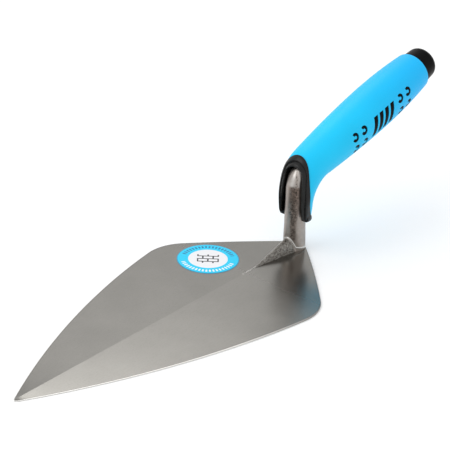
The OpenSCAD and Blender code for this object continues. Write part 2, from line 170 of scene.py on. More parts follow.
class CollarSizes(bpy.types.PropertyGroup):
    """Sizes of the nose collar"""

    rim_height: length_of("Rim height", "Rolled rim under the finger guard", 4.4)
    rim_proud: length_of("Rim proud", "How far the rim stands out of the guard", 0.7)
    nose_proud: length_of("Nose proud", "How far the collar stands out of the sleeve over the nose", 0.8)
    seam_middle: length_of("Seam middle", "Height at which the seam comes furthest forward", 52)
    seam_ahead: length_of("Seam ahead", "Seam's middle ahead of the axes' crossing", 0.7)
    seam_radius: length_of("Seam radius", "Radius of the bowed seam", 62)
    arch_height: length_of("Arch height", "Inner top of the arch above the floor", 64.5)
    arch_foot: length_of("Arch foot", "Width of the arch between the legs' lower ends", 18.2)
    arch_depth: length_of("Arch depth", "Depth of the arch behind the axes' crossing", 3)
    lining: length_of("Lining", "Wall behind the arch", 1.2)
    clearance: length_of("Clearance", "Between the bar and what surrounds it", 0.25)
    lip_radius: length_of("Lip radius", "Rounded inner lip", 0.9)
    edge_radius: length_of("Edge radius", "Rounded outer edge at the seam", 1.0)
    groove_depth: length_of("Groove depth", "Groove between the two ridges", 1.4)
    groove_width: length_of("Groove width", "Groove between the two ridges", 0.8)
    leg_round: length_of("Leg rounding", "Rounded lower ends of the legs", 3)


class CapSizes(bpy.types.PropertyGroup):
    """Sizes of the end cap"""

    diameter: length_of("Diameter", "Diameter of the cap", 26.26)
    length: length_of("Length", "Length behind the sleeve", 17.46)
    taper: length_of("Taper", "How much less the radius is at the rim", 0.8)
    corner: length_of("Corner", "Rounded rim", 5.5)
    dome: length_of("Dome", "Height of the domed end", 1)
    spigot_d: length_of("Spigot", "Diameter of the spigot in the core", 14)
    spigot_length: length_of("Spigot length", "Length of the spigot in the core", 10)


class InlaySizes(bpy.types.PropertyGroup):
    """Sizes of the rings and bars let into the sleeve"""

    ring_d: length_of("Ring", "Outer diameter of a ring", 6.9)
    dot_d: length_of("Dot", "Diameter of the dot inside a ring", 2.5)
    ring_gap: turn_of("Ring gap", "Angle of a ring's opening towards the nose", 75)
    gap_lift: turn_of("Gap lift", "Angle by which the opening is turned up", 20)
    ring_recess: length_of("Ring recess", "Depth of a ring's face", 0.3)
    ring_thickness: length_of("Ring thickness", "Thickness of a ring", 1.2)
    ring_corner: length_of("Ring corner", "Rounded edge of a ring", 0.18)
    groove_corner: length_of("Groove corner", "Rounded corner in a ring's groove", 0.02)
    ring_pitch: length_of("Ring pitch", "Spacing along the grip", 10)
    row_gap: length_of("Row gap", "Spacing of the two rows round the grip", 10.8)
    ring_drop: turn_of("Ring drop", "Angle of the rows' middle below the grip's side", 2)
    front_rings_at: length_of("Front rings", "First ring of the front group", 50.5)
    rear_rings_at: length_of("Rear rings", "First ring of the rear group", 105)
    bar_count: bpy.props.IntProperty(name="Bars", description="Number of slanted bars", default=4)
    bar_width: length_of("Bar width", "Along the grip", 4.4)
    bar_pitch: length_of("Bar pitch", "Spacing along the grip", 6.6)
    bar_height: length_of("Bar height", "Round the grip", 15)
    bar_slant: length_of("Bar slant", "Shift of a bar's upper end", 5)
    bars_at: length_of("Bars place", "Middle of the row along the grip", 83)
    bar_recess: length_of("Bar recess", "Depth of a bar's face", 0.25)
    bar_thickness: length_of("Bar thickness", "Thickness of a bar", 1.4)
    clearance: length_of("Clearance", "Round an inlay in its pocket", 0.05)


class LabelSizes(bpy.types.PropertyGroup):
    """Sizes of the round label"""

    diameter: length_of("Diameter", "Diameter of the label", 43.5)
    thickness: length_of("Thickness", "Thickness of the film", 0.2)
    ahead: length_of("Ahead", "Centre ahead of the axes' crossing", 54.5)
    aside: length_of("Aside", "Centre to the right of the ridge", 32)
    centre_d: length_of("Centre", "Diameter of the pale centre", 27.6)
    ticks_d: length_of("Ticks", "Diameter of the circle of ticks", 35.6)
    tick_length: length_of("Tick length", "Length of a tick", 2.8)
    tick_count: bpy.props.IntProperty(name="Tick count", description="Ticks in a whole turn", default=46)
    brick_width: length_of("Brick width", "Width of a drawn brick", 7.2)
    brick_height: length_of("Brick height", "Height of a drawn brick", 4.0)
    joint: length_of("Joint", "Thickness of a drawn joint", 0.55)
    wall_width: length_of("Wall width", "Width of the drawn wall", 15.2)
    wall_height: length_of("Wall height", "Height of the drawn wall", 12.6)
    rim_width: length_of("Rim", "Width of the darker rim", 0.8)


class TrowelColours(bpy.types.PropertyGroup):
    """Colours of the finishes"""

    ground: colour_of("Ground steel", "Blade", 0.206, 0.199, 0.184)
    forged: colour_of("Forged steel", "Shank", 0.366, 0.327, 0.299)
    rust: colour_of("Brown", "Brown bloom on the post", 0.17, 0.108, 0.08)
    # Also paints the post's dark streak and the shade in the bend, nick and groove.
    scale: colour_of("Forge scale", "Dark of the shank's pits", 0.055, 0.047, 0.04)
    # Also paints highlights: on the blade's edge and on the shank's bead, fringe and bend.
    bright: colour_of("Bright steel", "Worn edges", 0.62, 0.61, 0.59)
    grip: colour_of("Grip", "Soft sleeve", 0.006, 0.6, 0.985)
    # Painted shade: the deeper blue towards the butt.
    butt: colour_of("Butt", "Sleeve near the butt", 0.003, 0.5, 0.98)
    black: colour_of("Black", "Collar, cap and inlays", 0.007, 0.007, 0.0068)
    label_ring: colour_of("Label ring", "Ring of the label", 0.006, 0.62, 0.92)
    label_centre: colour_of("Label centre", "Centre of the label", 0.85, 0.85, 0.88)
    label_ink: colour_of("Label ink", "Lines on the label", 0.02, 0.02, 0.024)
    label_tick: colour_of("Label ticks", "Dark ticks on the label's ring", 0.01, 0.16, 0.36)
    label_pale_tick: colour_of("Pale ticks", "Pale ticks on the label's ring", 0.9, 0.92, 0.94)


class StageSettings(bpy.types.PropertyGroup):
    """Camera and light"""

    azimuth: turn_of("Azimuth", "Camera's direction round the trowel", 128.516)
    elevation: turn_of("Elevation", "Camera's height as an angle", 26.32)
    roll: turn_of("Roll", "Camera's roll", 2.247)
    field: turn_of("Field of view", "Across the square picture", 16)
    distance: length_of("Distance", "Camera to target", 1164.276)
    target: bpy.props.FloatVectorProperty(
        name="Target", description="Middle of the picture", size=3, subtype="TRANSLATION",
        default=(4.515 * MM, -57.794 * MM, 0.98 * MM),
    )
    ambient: number_of("Ambient", "Strength of the surrounding light", 0.86)
    key: number_of("Key", "Power of the key light in watts", 6.0)
    back: number_of("Back", "Power of the back light in watts", 2.36)
    back_turn: turn_of("Back turn", "Direction of the back light, from the toe round to the left", -133.4)
    back_elevation: turn_of("Back elevation", "Height of the back light as an angle", 51.3)
    floor: number_of("Floor", "Paleness of the floor", 0.9)
    floor_lift: number_of("Floor lift", "Light added to the floor as the camera sees it", 0.12)


class TrowelSettings(bpy.types.PropertyGroup):
    """Everything that can be set on the trowel"""

    blade: bpy.props.PointerProperty(type=BladeSizes, name="Blade", description="Ground blade")
    shank: bpy.props.PointerProperty(type=ShankSizes, name="Shank", description="Forged shank")
    grip: bpy.props.PointerProperty(type=GripSizes, name="Grip", description="Soft sleeve")
    collar: bpy.props.PointerProperty(type=CollarSizes, name="Collar", description="Nose collar")
    cap: bpy.props.PointerProperty(type=CapSizes, name="Cap", description="End cap")
    inlays: bpy.props.PointerProperty(type=InlaySizes, name="Inlays", description="Rings and bars")
    label: bpy.props.PointerProperty(type=LabelSizes, name="Label", description="Round label")
    colours: bpy.props.PointerProperty(type=TrowelColours, name="Colours", description="Finishes")
    stage: bpy.props.PointerProperty(type=StageSettings, name="Stage", description="Camera and light")


def settings():
    """The trowel's settings on the open scene."""
    return bpy.context.scene.trowel


# Meshes


def blend(a, b, share):
    return a + (b - a) * share


def smooth_step(low, high, value):
    """0 below low, 1 above high and an even slope between."""
    share = np.clip((value - low) / (high - low), 0, 1)
    return share * share * (3 - 2 * share)


def grid_faces(rows, columns, wrap=False):
    """Quads between neighbouring rows of points; wrap joins the last column to the first."""
    faces = []
    for row in range(rows - 1):
        start = row * columns
        for column in range(columns if wrap else columns - 1):
            beside = (column + 1) % columns
            faces.append((
                start + column, start + beside,
                start + columns + beside, start + columns + column,
            ))
    return faces


def new_object(name, mesh):
    piece = bpy.data.objects.new(name, mesh)
    bpy.context.scene.collection.objects.link(piece)
    return piece


def close_up(shape, mesh):
    """Merges doubles, turns the faces outwards and writes the mesh."""
    bmesh.ops.remove_doubles(shape, verts=shape.verts, dist=WELD)
    bmesh.ops.dissolve_degenerate(shape, edges=shape.edges, dist=WELD)
    bmesh.ops.recalc_face_normals(shape, faces=shape.faces)
    shape.to_mesh(mesh)
    shape.free()


def solid(name, points, faces):
    """An object of one closed mesh."""
    shape = bmesh.new()
    corners = [shape.verts.new(p) for p in points]
    for face in faces:
        shape.faces.new([corners[i] for i in face])
    mesh = bpy.data.meshes.new(name)
    close_up(shape, mesh)
    return new_object(name, mesh)


def ring_solid(name, rings):
    """A closed solid through rings of points, with flat ends."""
    rows, columns = len(rings), len(rings[0])
    faces = grid_faces(rows, columns, wrap=True)
    faces.append(tuple(range(columns)))
    faces.append(tuple(range(rows * columns - 1, (rows - 1) * columns - 1, -1)))
    return solid(name, np.concatenate(rings), faces)


def settle(piece):
    """Turns what a piece's modifiers make into its plain mesh, and removes them."""
    depsgraph = bpy.context.evaluated_depsgraph_get()
    mesh = bpy.data.meshes.new_from_object(piece.evaluated_get(depsgraph))
    piece.modifiers.clear()
    spent, piece.data = piece.data, mesh
    bpy.data.meshes.remove(spent)
    if not mesh.polygons:
        raise RuntimeError(f"nothing is left of {piece.name}")


def carve(piece, tool, operation="DIFFERENCE"):
    """Cuts a tool out of a piece, or joins it on, and uses the tool up."""
    cut = piece.modifiers.new("carve", "BOOLEAN")
    cut.operation = operation
    cut.solver = "MANIFOLD"
    cut.object = tool
    settle(piece)
    spent = tool.data
    bpy.data.objects.remove(tool)
    bpy.data.meshes.remove(spent)


def shade(piece, sharp_degrees):
    """Smooth shading with crisp edges where two faces meet at more than an angle."""
    mesh = piece.data
    mesh.shade_smooth()
    mesh.set_sharp_from_angle(angle=math.radians(sharp_degrees))


def points_of(piece):
    """A mesh's points as rows of x, y and z."""
    flat = np.empty(len(piece.data.vertices) * 3, np.float32)
    piece.data.vertices.foreach_get("co", flat)
    return flat.reshape(-1, 3).astype(float)


def press_in(piece, depth):
    """Moves each point of a piece inwards along its normal."""
    normals = np.empty(len(depth) * 3, np.float32)
    piece.data.vertices.foreach_get("normal", normals)
    moved = points_of(piece) - normals.reshape(-1, 3) * depth[:, None]
    piece.data.vertices.foreach_set("co", moved.astype(np.float32).ravel())
    piece.data.update()


def mark(piece, name, values):
    """Stores one number for each point, for the finish to read."""
    attribute = piece.data.attributes.new(name, "FLOAT", "POINT")
    attribute.data.foreach_set("value", np.asarray(values, np.float32))


def dress(piece, finish, slot, *nodes):
    """Gives a piece its finish and stands it in for its solids."""
    piece.data.materials.clear()
    piece.data.materials.append(finish)
    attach(piece, BODY)
    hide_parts(*nodes)


# Blade


def arc(centre, radius, start, end, steps):
    """Points on a circle, from one direction to another."""
    turns = np.linspace(start, end, steps + 1)
    return np.stack([centre[0] + radius * np.cos(turns), centre[1] + radius * np.sin(turns)], 1)


def heading(a, b):
    """The direction from a to b."""
    return math.atan2(b[1] - a[1], b[0] - a[0])


def crossing(a, ra, b, rb):
    """Where two circles cross, on the right of the way from a to b."""
    span = np.linalg.norm(b - a)
    along = (b - a) / span
    run = (span ** 2 + ra ** 2 - rb ** 2) / (2 * span)
    return a + run * along + math.sqrt(ra ** 2 - run ** 2) * np.array([along[1], -along[0]])


class BladeShape:
    """Outline and thickness of the blade, worked out from its sizes."""

    def __init__(self, sizes):
        self.sizes = sizes
        self.heel_x = -sizes.post_inset
        self.toe_x = sizes.length - sizes.post_inset
        self.fall = (sizes.heel_thickness - sizes.toe_thickness) / sizes.length
        widest = sizes.heel_thickness - sizes.shoulder_from_heel * self.fall
        self.face_fall = (widest - sizes.edge_thickness) / (sizes.width / 2)
        self.outline = self.left_outline()

    def left_outline(self):
        """Left half from toe to heel: rounded tip, curved side, shoulder, heel side and heel."""
        s = self.sizes
        shoulder = np.array([self.heel_x + s.shoulder_from_heel, s.width / 2 - s.shoulder_radius])
        toe = np.array([self.toe_x - s.toe_radius, 0])
        heel = np.array([self.heel_x + s.heel_radius, 0])
        side = crossing(shoulder, s.side_radius - s.shoulder_radius, toe, s.side_radius - s.toe_radius)
        back_radius = s.heel_side_radius
        back = crossing(heel, back_radius - s.heel_radius, shoulder, back_radius - s.shoulder_radius)
        toe_turn, shoulder_turn = heading(side, toe), heading(side, shoulder)
        back_turn, heel_turn = heading(back, shoulder), heading(back, heel)
        tip = arc(toe, s.toe_radius, 0, toe_turn, 10)
        flank = arc(side, s.side_radius, toe_turn, shoulder_turn, 110)
        corner = arc(shoulder, s.shoulder_radius, shoulder_turn, back_turn, 36)
        heel_side = arc(back, back_radius, back_turn, heel_turn, 30)
        end = arc(heel, s.heel_radius, heel_turn, math.pi, 14)
        return np.concatenate([tip, flank[1:], corner[1:], heel_side[1:], end[1:]])

    def ridge(self, x):
        return self.sizes.heel_thickness - (x - self.heel_x) * self.fall

    def half_width(self, x):
        order = np.argsort(self.outline[:, 0])
        return np.interp(x, self.outline[order, 0], self.outline[order, 1])

    def edge(self, x, half):
        """Thickness at the edge: drawn out thinner towards the toe."""
        plain = self.ridge(x) - half * self.face_fall
        drawn = smooth_step(self.heel_x + 0.45 * self.sizes.length, self.toe_x, x)
        return np.minimum(plain, blend(plain, self.sizes.toe_edge, np.sqrt(drawn)))

    def top(self, x, y):
        """Height of the top face anywhere on the blade."""
        half = self.half_width(x)
        share = np.clip(np.abs(y) / np.maximum(half, WELD), 0, 1)
        return blend(self.ridge(x), self.edge(x, half), share)


def make_blade(sizes):
    """Both halves, ridge to edge to flat underside."""
    shape = BladeShape(sizes)
    outline = shape.outline
    along = np.gradient(outline, axis=0)
    along /= np.linalg.norm(along, axis=1)[:, None]
    outward = np.stack([along[:, 1], -along[:, 0]], 1)
    outward[0], outward[-1] = (1, 0), (-1, 0)
    x, half = outline.T
    edge = shape.edge(x, half)
    ridge = shape.ridge(x)
    bevel, edge_band_width = sizes.bevel, 3 * MM

    def inside(inset):
        moved = outline - outward * inset
        moved[:, 1] = np.maximum(moved[:, 1], 0)
        return moved

    inner = inside(bevel)
    rows = []
    for share in (0, 0.03, 0.1, 0.22, 0.36, 0.5, 0.64, 0.78, 0.88, 0.95, 0.98, 1):
        height = blend(ridge, edge, share)
        spot = np.stack([blend(x, inner[:, 0], share), inner[:, 1] * share], 1)
        rows.append(np.column_stack([spot, height]))
    for turn in np.radians([30, 60, 90]):
        spot = inside(bevel * (1 - math.sin(turn)))
        rows.append(np.column_stack([spot, edge - bevel * (1 - math.cos(turn))]))
    for inset, height in ((0, bevel), (0.3 * bevel, 0.3 * bevel), (bevel, 0)):
        rows.append(np.column_stack([inside(inset), np.full(len(x), height)]))
    rows.append(np.column_stack([x, np.zeros_like(x), np.zeros_like(x)]))

    half_points = np.concatenate(rows)
    half_faces = grid_faces(len(rows), len(x))
    other = half_points * (1, -1, 1)
    count = len(half_points)
    faces = half_faces + [tuple(i + count for i in reversed(face)) for face in half_faces]
    blade = solid("ground_blade", np.concatenate([half_points, other]), faces)
    shade(blade, 25)
    crease_ridge(blade)
    spots = points_of(blade)
    reach = shape.half_width(spots[:, 0]) - np.abs(spots[:, 1])
    # Closeness to the edge, read by the finish for its edge band of wear, painted highlight and painted
    # shade.
    mark(blade, "near_edge", np.clip(1 - reach / edge_band_width, 0, 1))
    return blade


def crease_ridge(blade):
    """Keeps the ridge line between the two ground faces crisp."""
    mesh = blade.data
    spots = points_of(blade)
    over_bevels = 0.5 * MM
    on_ridge = (np.abs(spots[:, 1]) < WELD) & (spots[:, 2] > over_bevels)
    sharp = mesh.attributes.get("sharp_edge") or mesh.attributes.new("sharp_edge", "BOOLEAN", "EDGE")
    for edge in mesh.edges:
        a, b = edge.vertices
        if on_ridge[a] and on_ridge[b]:
            sharp.data[edge.index].value = True


# Shank


class BarAxis:
    """The post, the bend and the straight bar into the grip."""

    def __init__(self, sizes):
        self.sizes = sizes
        self.rise = sizes.grip_rise
        self.lean = sizes.post_lean
        self.bend = math.pi / 2 - sizes.grip_rise
        self.run = sizes.bend_radius * math.tan((self.bend + self.lean) / 2)
        self.post_height = sizes.axis_height - self.run * math.cos(self.lean)
        self.bar_end = self.run + sizes.bar_run

    def along(self, t):
        """A point on the grip's axis."""
        return -t * math.cos(self.rise), self.sizes.axis_height + t * math.sin(self.rise)

    def post_x(self, z):
        """Where the leaning post's axis is at a height."""
        return (z - self.sizes.axis_height) * math.tan(self.lean)

    def post_radius(self, z):
        share = z / self.post_height
        return blend(self.sizes.post_base_d, self.sizes.bar_d, share) / 2

    def carry(self):
        """From the grip's own frame, z to the butt and x up, to the trowel's."""
        lift = Matrix.Translation((0, 0, self.sizes.axis_height))
        return lift @ Matrix.Rotation(-self.bend, 4, "Y")


def circle(centre_x, centre_z, lean, radius, turns):
    """A ring round an axis that has leaned back from upright."""
    out = radius * np.cos(turns)
    return np.column_stack([
        centre_x + out * math.cos(lean), radius * np.sin(turns), centre_z + out * math.sin(lean),
    ])


def full_turn(sides):
    return np.linspace(0, 2 * math.pi, sides, endpoint=False)


def turned_rings(axis, profile, turns):
    """Rings round the grip's axis, from pairs of radius and place."""
    rings = []
    for radius, t in profile:
        x, z = axis.along(t)
        rings.append(circle(x, z, axis.bend, radius, turns))
    return rings


def bar_rings(axis, grow, start, post_rows, bend_rows, sides):
    """Rings up the post, round the bend and along the stout bar, grown by a clearance."""
    s = axis.sizes
    turns = full_turn(sides)
    rings = []
    for z in np.linspace(start, axis.post_height, post_rows):
        rings.append(circle(axis.post_x(z), z, -axis.lean, axis.post_radius(z) + grow, turns))
    middle_x = axis.post_x(axis.post_height) - s.bend_radius * math.cos(axis.lean)
    middle_z = axis.post_height + s.bend_radius * math.sin(axis.lean)
    for lean in np.linspace(-axis.lean, axis.bend, bend_rows)[1:]:
        x = middle_x + s.bend_radius * math.cos(lean)
        z = middle_z + s.bend_radius * math.sin(lean)
        rings.append(circle(x, z, lean, s.bar_d / 2 + grow, turns))
    straight = np.linspace(axis.run, axis.bar_end, 8)[1:]
    return rings + turned_rings(axis, [(s.bar_d / 2 + grow, t) for t in straight], turns)


class FootShape:
    """The forged foot: a low dome that wraps the post's base and runs out to a thin tail."""

    def __init__(self, sizes, blade, axis):
        self.sizes = sizes
        self.blade = blade
        self.base = axis.post_x(0)
        self.wedge = sizes.foot_length - self.base
        self.tip = sizes.foot_length + sizes.tail_length
        self.back = 0.8 * sizes.foot_width / 2

    def half_width(self, x):
        """Straight sides that draw in to the tail; rounded behind the post's axis."""
        s = self.sizes
        away = x - self.base
        wide, tail = s.foot_width / 2, s.foot_tip_width / 2
        ahead = blend(tail, wide, np.clip(1 - away / self.wedge, 0, 1))
        behind = np.sqrt(np.maximum(wide ** 2 - np.minimum(away, 0) ** 2, 0))
        return np.where(away < 0, behind, ahead)

    def height(self, x):
        """Height of the crest over the blade."""
        away = x - self.base
        crest = self.sizes.foot_height - self.blade.ridge(0)
        tail = self.sizes.tail_height * np.clip(5 * (1 - x / self.tip), 0, 1)
        ahead = tail + crest * np.clip(1 - away / self.wedge, 0, 1)
        behind = (crest + tail) * np.maximum(1 - (np.minimum(away, 0) / self.back) ** 2, 0)
        return np.where(away < 0, behind, ahead)

    def swell(self, x, y):
        """Height of the dome over the blade: steep sides and a round crest."""
        share = np.clip(np.abs(y) / np.maximum(self.half_width(x), WELD), 0, 1)
        return self.height(x) * (1 - share ** 2.2) ** 0.8

    def top(self, x, y):
        return self.blade.top(x, y) + self.swell(x, y)


def make_foot(foot):
    """The foot as a closed dome, its underside sunk in the blade."""
    turns = np.radians(np.linspace(-90, 90, 80))
    sink = 0.5 * MM
    rings = []
    for x in np.linspace(foot.base - 0.97 * foot.back, 0.997 * foot.tip, 190):
        side = foot.half_width(x) * np.sin(turns)
        across = np.full_like(side, x)
        ring = np.column_stack([across, side, foot.top(across, side)])
        low = ring[[-1, 0]] - (0, 0, sink)
        rings.append(np.concatenate([ring, low]))
    return ring_solid("foot", rings)


def bead_path(axis, foot):
    """Where the foot's dome runs into the post, and low round the post's sides beyond it."""
    turns = np.radians(np.linspace(-26, 115, 130))
    height = np.full(len(turns), foot.sizes.foot_height)
    rest = foot.sizes.bead_rest * np.interp(np.abs(turns), (0.85, 1.7, 2.1), (1.6, 0.75, 0.3))
    for _ in range(5):
        radius = axis.post_radius(height)
        x, y = axis.post_x(height) + radius * np.cos(turns), radius * np.sin(turns)
        over = (foot.swell(x, y) ** 4 + rest ** 4) ** 0.25
        height = 0.5 * (height + foot.blade.top(x, y) + over)
    return np.column_stack([x, y, height])


def make_bead(axis, foot):
    """A thin round bead along that line, thinner at its ends."""
    path = bead_path(axis, foot)
    ahead = np.gradient(path, axis=0)
    ahead /= np.linalg.norm(ahead, axis=1)[:, None]
    turns = full_turn(12)
    rings = []
    for place, way, share in zip(path, ahead, np.linspace(-1, 1, len(path))):
        side = np.cross(way, (0, 0, 1))
        side /= np.linalg.norm(side)
        up = np.cross(side, way)
        radius = foot.sizes.bead_d / 2 * (1 - 0.6 * share ** 4)
        rings.append(place + radius * (np.outer(np.cos(turns), side) + np.outer(np.sin(turns), up)))
    return ring_solid("bead", rings)


def tang_profile(axis):
    """The tang behind the bar, with its bevelled end."""
    radius, end = axis.sizes.tang_d / 2, axis.bar_end + axis.sizes.tang_length
    bevel = 1.5 * MM
    return [(radius, axis.bar_end), (radius, end - bevel), (radius - bevel, end)]


def noise_at(spots, scale):
    """Even noise between about -1 and 1 at each point."""
    return np.array([noise.noise(Vector(spot) * scale) for spot in spots])


def pitting(spots, grain):
    """Depth of forge pits at each point, 0 to 1: small cells, clustered by a slow noise."""
    depths = np.empty(len(spots))
    for i, spot in enumerate(spots):
        place = Vector(spot) * grain
        cell = noise.voronoi(place)[0][0]
        cluster = 0.5 + 0.5 * noise.noise(place * 0.31)
        depths[i] = max(0.0, 1 - 2.1 * cell) * min(1.0, 1.5 * cluster)
    return depths


def make_shank(sizes, blade):
    """The bar with its tang, the foot and the bead as one forging."""
    axis = BarAxis(sizes)
    foot = FootShape(sizes, blade, axis)
    sides = 128
    rings = bar_rings(axis, 0, blade.sizes.edge_thickness, 130, 44, sides)
    rings += turned_rings(axis, tang_profile(axis), full_turn(sides))
    shank = ring_solid("forged_shank", rings)
    carve(shank, make_foot(foot), "UNION")
    carve(shank, make_bead(axis, foot), "UNION")
    forge(shank, axis, foot)
    shade(shank, 50)
    return shank


def round_post(spots, axis):
    """How far each point lies ahead of the post's axis, its turn round it and how far it lies outside."""
    x, y, z = spots.T
    level = np.clip(z, 0, axis.post_height)
    ahead = x - axis.post_x(level)
    return ahead, np.arctan2(y, ahead), np.hypot(ahead, y) - axis.post_radius(level)


def foot_marks(spots, axis, foot):
    """Shares of the rough foot, of its painted highlight along the far side and lighter tip, and of the
    bead.
    """
    x, y, z = spots.T
    ahead, _, outside = round_post(spots, axis)
    top, fade, bead_reach = foot.sizes.foot_height, 2 * MM, 6 * MM
    on_foot = smooth_step(0.4 * MM, 1.5 * MM, outside) * smooth_step(top + fade, top, z) * (ahead > 0)
    share = np.abs(y) / np.maximum(foot.half_width(x), WELD)
    # Painted highlight along the foot's far side, and lighter towards its tip.
    painted_far_highlight = 0.34 * smooth_step(0.1, 0.4, share) * (y < 0) * on_foot
    tip = foot.sizes.foot_length
    fringe = np.maximum(painted_far_highlight, 0.5 * smooth_step(tip - 4 * MM, tip + 3 * MM, x))
    to_bead = np.full(len(spots), 1.0)
    low = z < top + bead_reach
    gaps = spots[low, None, :] - bead_path(axis, foot)[None, :, :]
    to_bead[low] = np.linalg.norm(gaps, axis=2).min(axis=1)
    return on_foot, fringe, smooth_step(1.0 * MM, 0.5 * MM, to_bead)


def post_marks(spots, axis, on_foot):
    """Shares of the post's painted dark streak and brown wash, of the worn bend's darkened groove and
    painted sheen, and of a nick darkened as painted shade.

    Directions round the post are in radians, from its front to the left."""
    streak_turn, wash_turn, line_turn = 0.47, 0.45, 0.7
    nick_height, worn_from = 29 * MM, axis.post_height + 3 * MM
    z = spots[:, 2]
    ahead, turn, _ = round_post(spots, axis)
    front = ahead > 0
    wander = 0.25 * noise_at(spots * (0, 0, 1), 90)
    reach = np.interp(z, (14 * MM, 26 * MM, 32 * MM), (0.3, 0.45, 0.72))
    # Painted dark reflection: a dark streak down the post's front, which the pits also gather in.
    streak = smooth_step(reach, 0.35 * reach, np.abs(turn - streak_turn - wander))
    streak *= smooth_step(worn_from + 2 * MM, worn_from, z) * front * (1 - on_foot)
    wash = smooth_step(0.95, 0.5, np.abs(turn - wash_turn)) * smooth_step(28 * MM, 44 * MM, z) * front
    worn = smooth_step(worn_from, worn_from + 2.2 * MM, z)
    # A groove in the bend, darkened as painted shade between the two painted highlights.
    line = smooth_step(0.18, 0.05, np.abs(turn - line_turn)) * worn * front
    # Painted highlights: two bands of sheen round the worn bend.
    painted_sheen = np.exp(-((turn - 0.17) / 0.3) ** 2) + 0.8 * np.exp(-((turn - 1.03) / 0.1) ** 2)
    broken = noise_at(np.column_stack([3 * turn, np.full_like(turn, 7), np.ones_like(turn)]), 1)
    # A nick round the post, darkened as painted shade in its recess.
    nick = smooth_step(0.45 * MM, 0.1 * MM, np.abs(z - nick_height - 1.5 * MM * wander))
    nick *= (1 - worn) * smooth_step(0.1, 0.4, broken)
    return streak, wash, worn, line, painted_sheen, nick


def forge(shank, axis, foot):
    """Roughens the foot and a streak down the post, and marks the pits, the worn bend, and where highlights
    and shade are painted.
    """
    s = axis.sizes
    spots = points_of(shank)
    on_foot, fringe, bead = foot_marks(spots, axis, foot)
    streak, wash, worn, line, painted_sheen, nick = post_marks(spots, axis, on_foot)
    pits = pitting(spots, 900) * np.clip(0.95 * on_foot + 0.9 * streak + 0.14, 0, 1) * (1 - bead)
    ripple = np.array([noise.fractal(Vector(spot) * 160, 0.8, 2.0, 3) for spot in spots])
    pebble = np.maximum(noise_at(spots, 620), -0.3)
    seen = smooth_step(axis.along(axis.bar_end)[1] + 3 * MM, axis.along(axis.run)[1], spots[:, 2])
    depth = (s.ripple_depth * ripple * seen + s.pebble_depth * pebble * on_foot) * (1 - bead)
    press_in(shank, depth + s.pit_depth * pits + s.nick_depth * (nick + line))
    # Painted shade: darker on the bend away from its painted sheen, in the nick and the groove, and the
    # post's painted dark streak.
    painted_shade = 0.3 * worn * np.clip(1 - painted_sheen, 0, 1) + 0.7 * (nick + line) + 0.85 * streak
    # Brighter on the worn bend: a little real polish and mostly the painted sheen.
    wear_and_painted_light = worn * (0.06 + 0.5 * painted_sheen) * (1 - 0.8 * line)
    mark(shank, "pits", np.clip(pits, 0, 1))
    mark(shank, "foot", on_foot)
    # streak: painted shade and the painted dark streak, and the foot's dark grain outside its painted
    # fringe.
    mark(shank, "streak", np.clip(painted_shade + on_foot * (1 - fringe), 0, 1))
    mark(shank, "brown", np.clip(0.4 * streak + 0.45 * wash * (1 - worn), 0, 1))
    # bright: the bead and the foot's fringe painted bright as highlights, and the bend's polish and painted
    # sheen.
    mark(shank, "bright", np.clip(bead + wear_and_painted_light + fringe, 0, 1))


# Grip


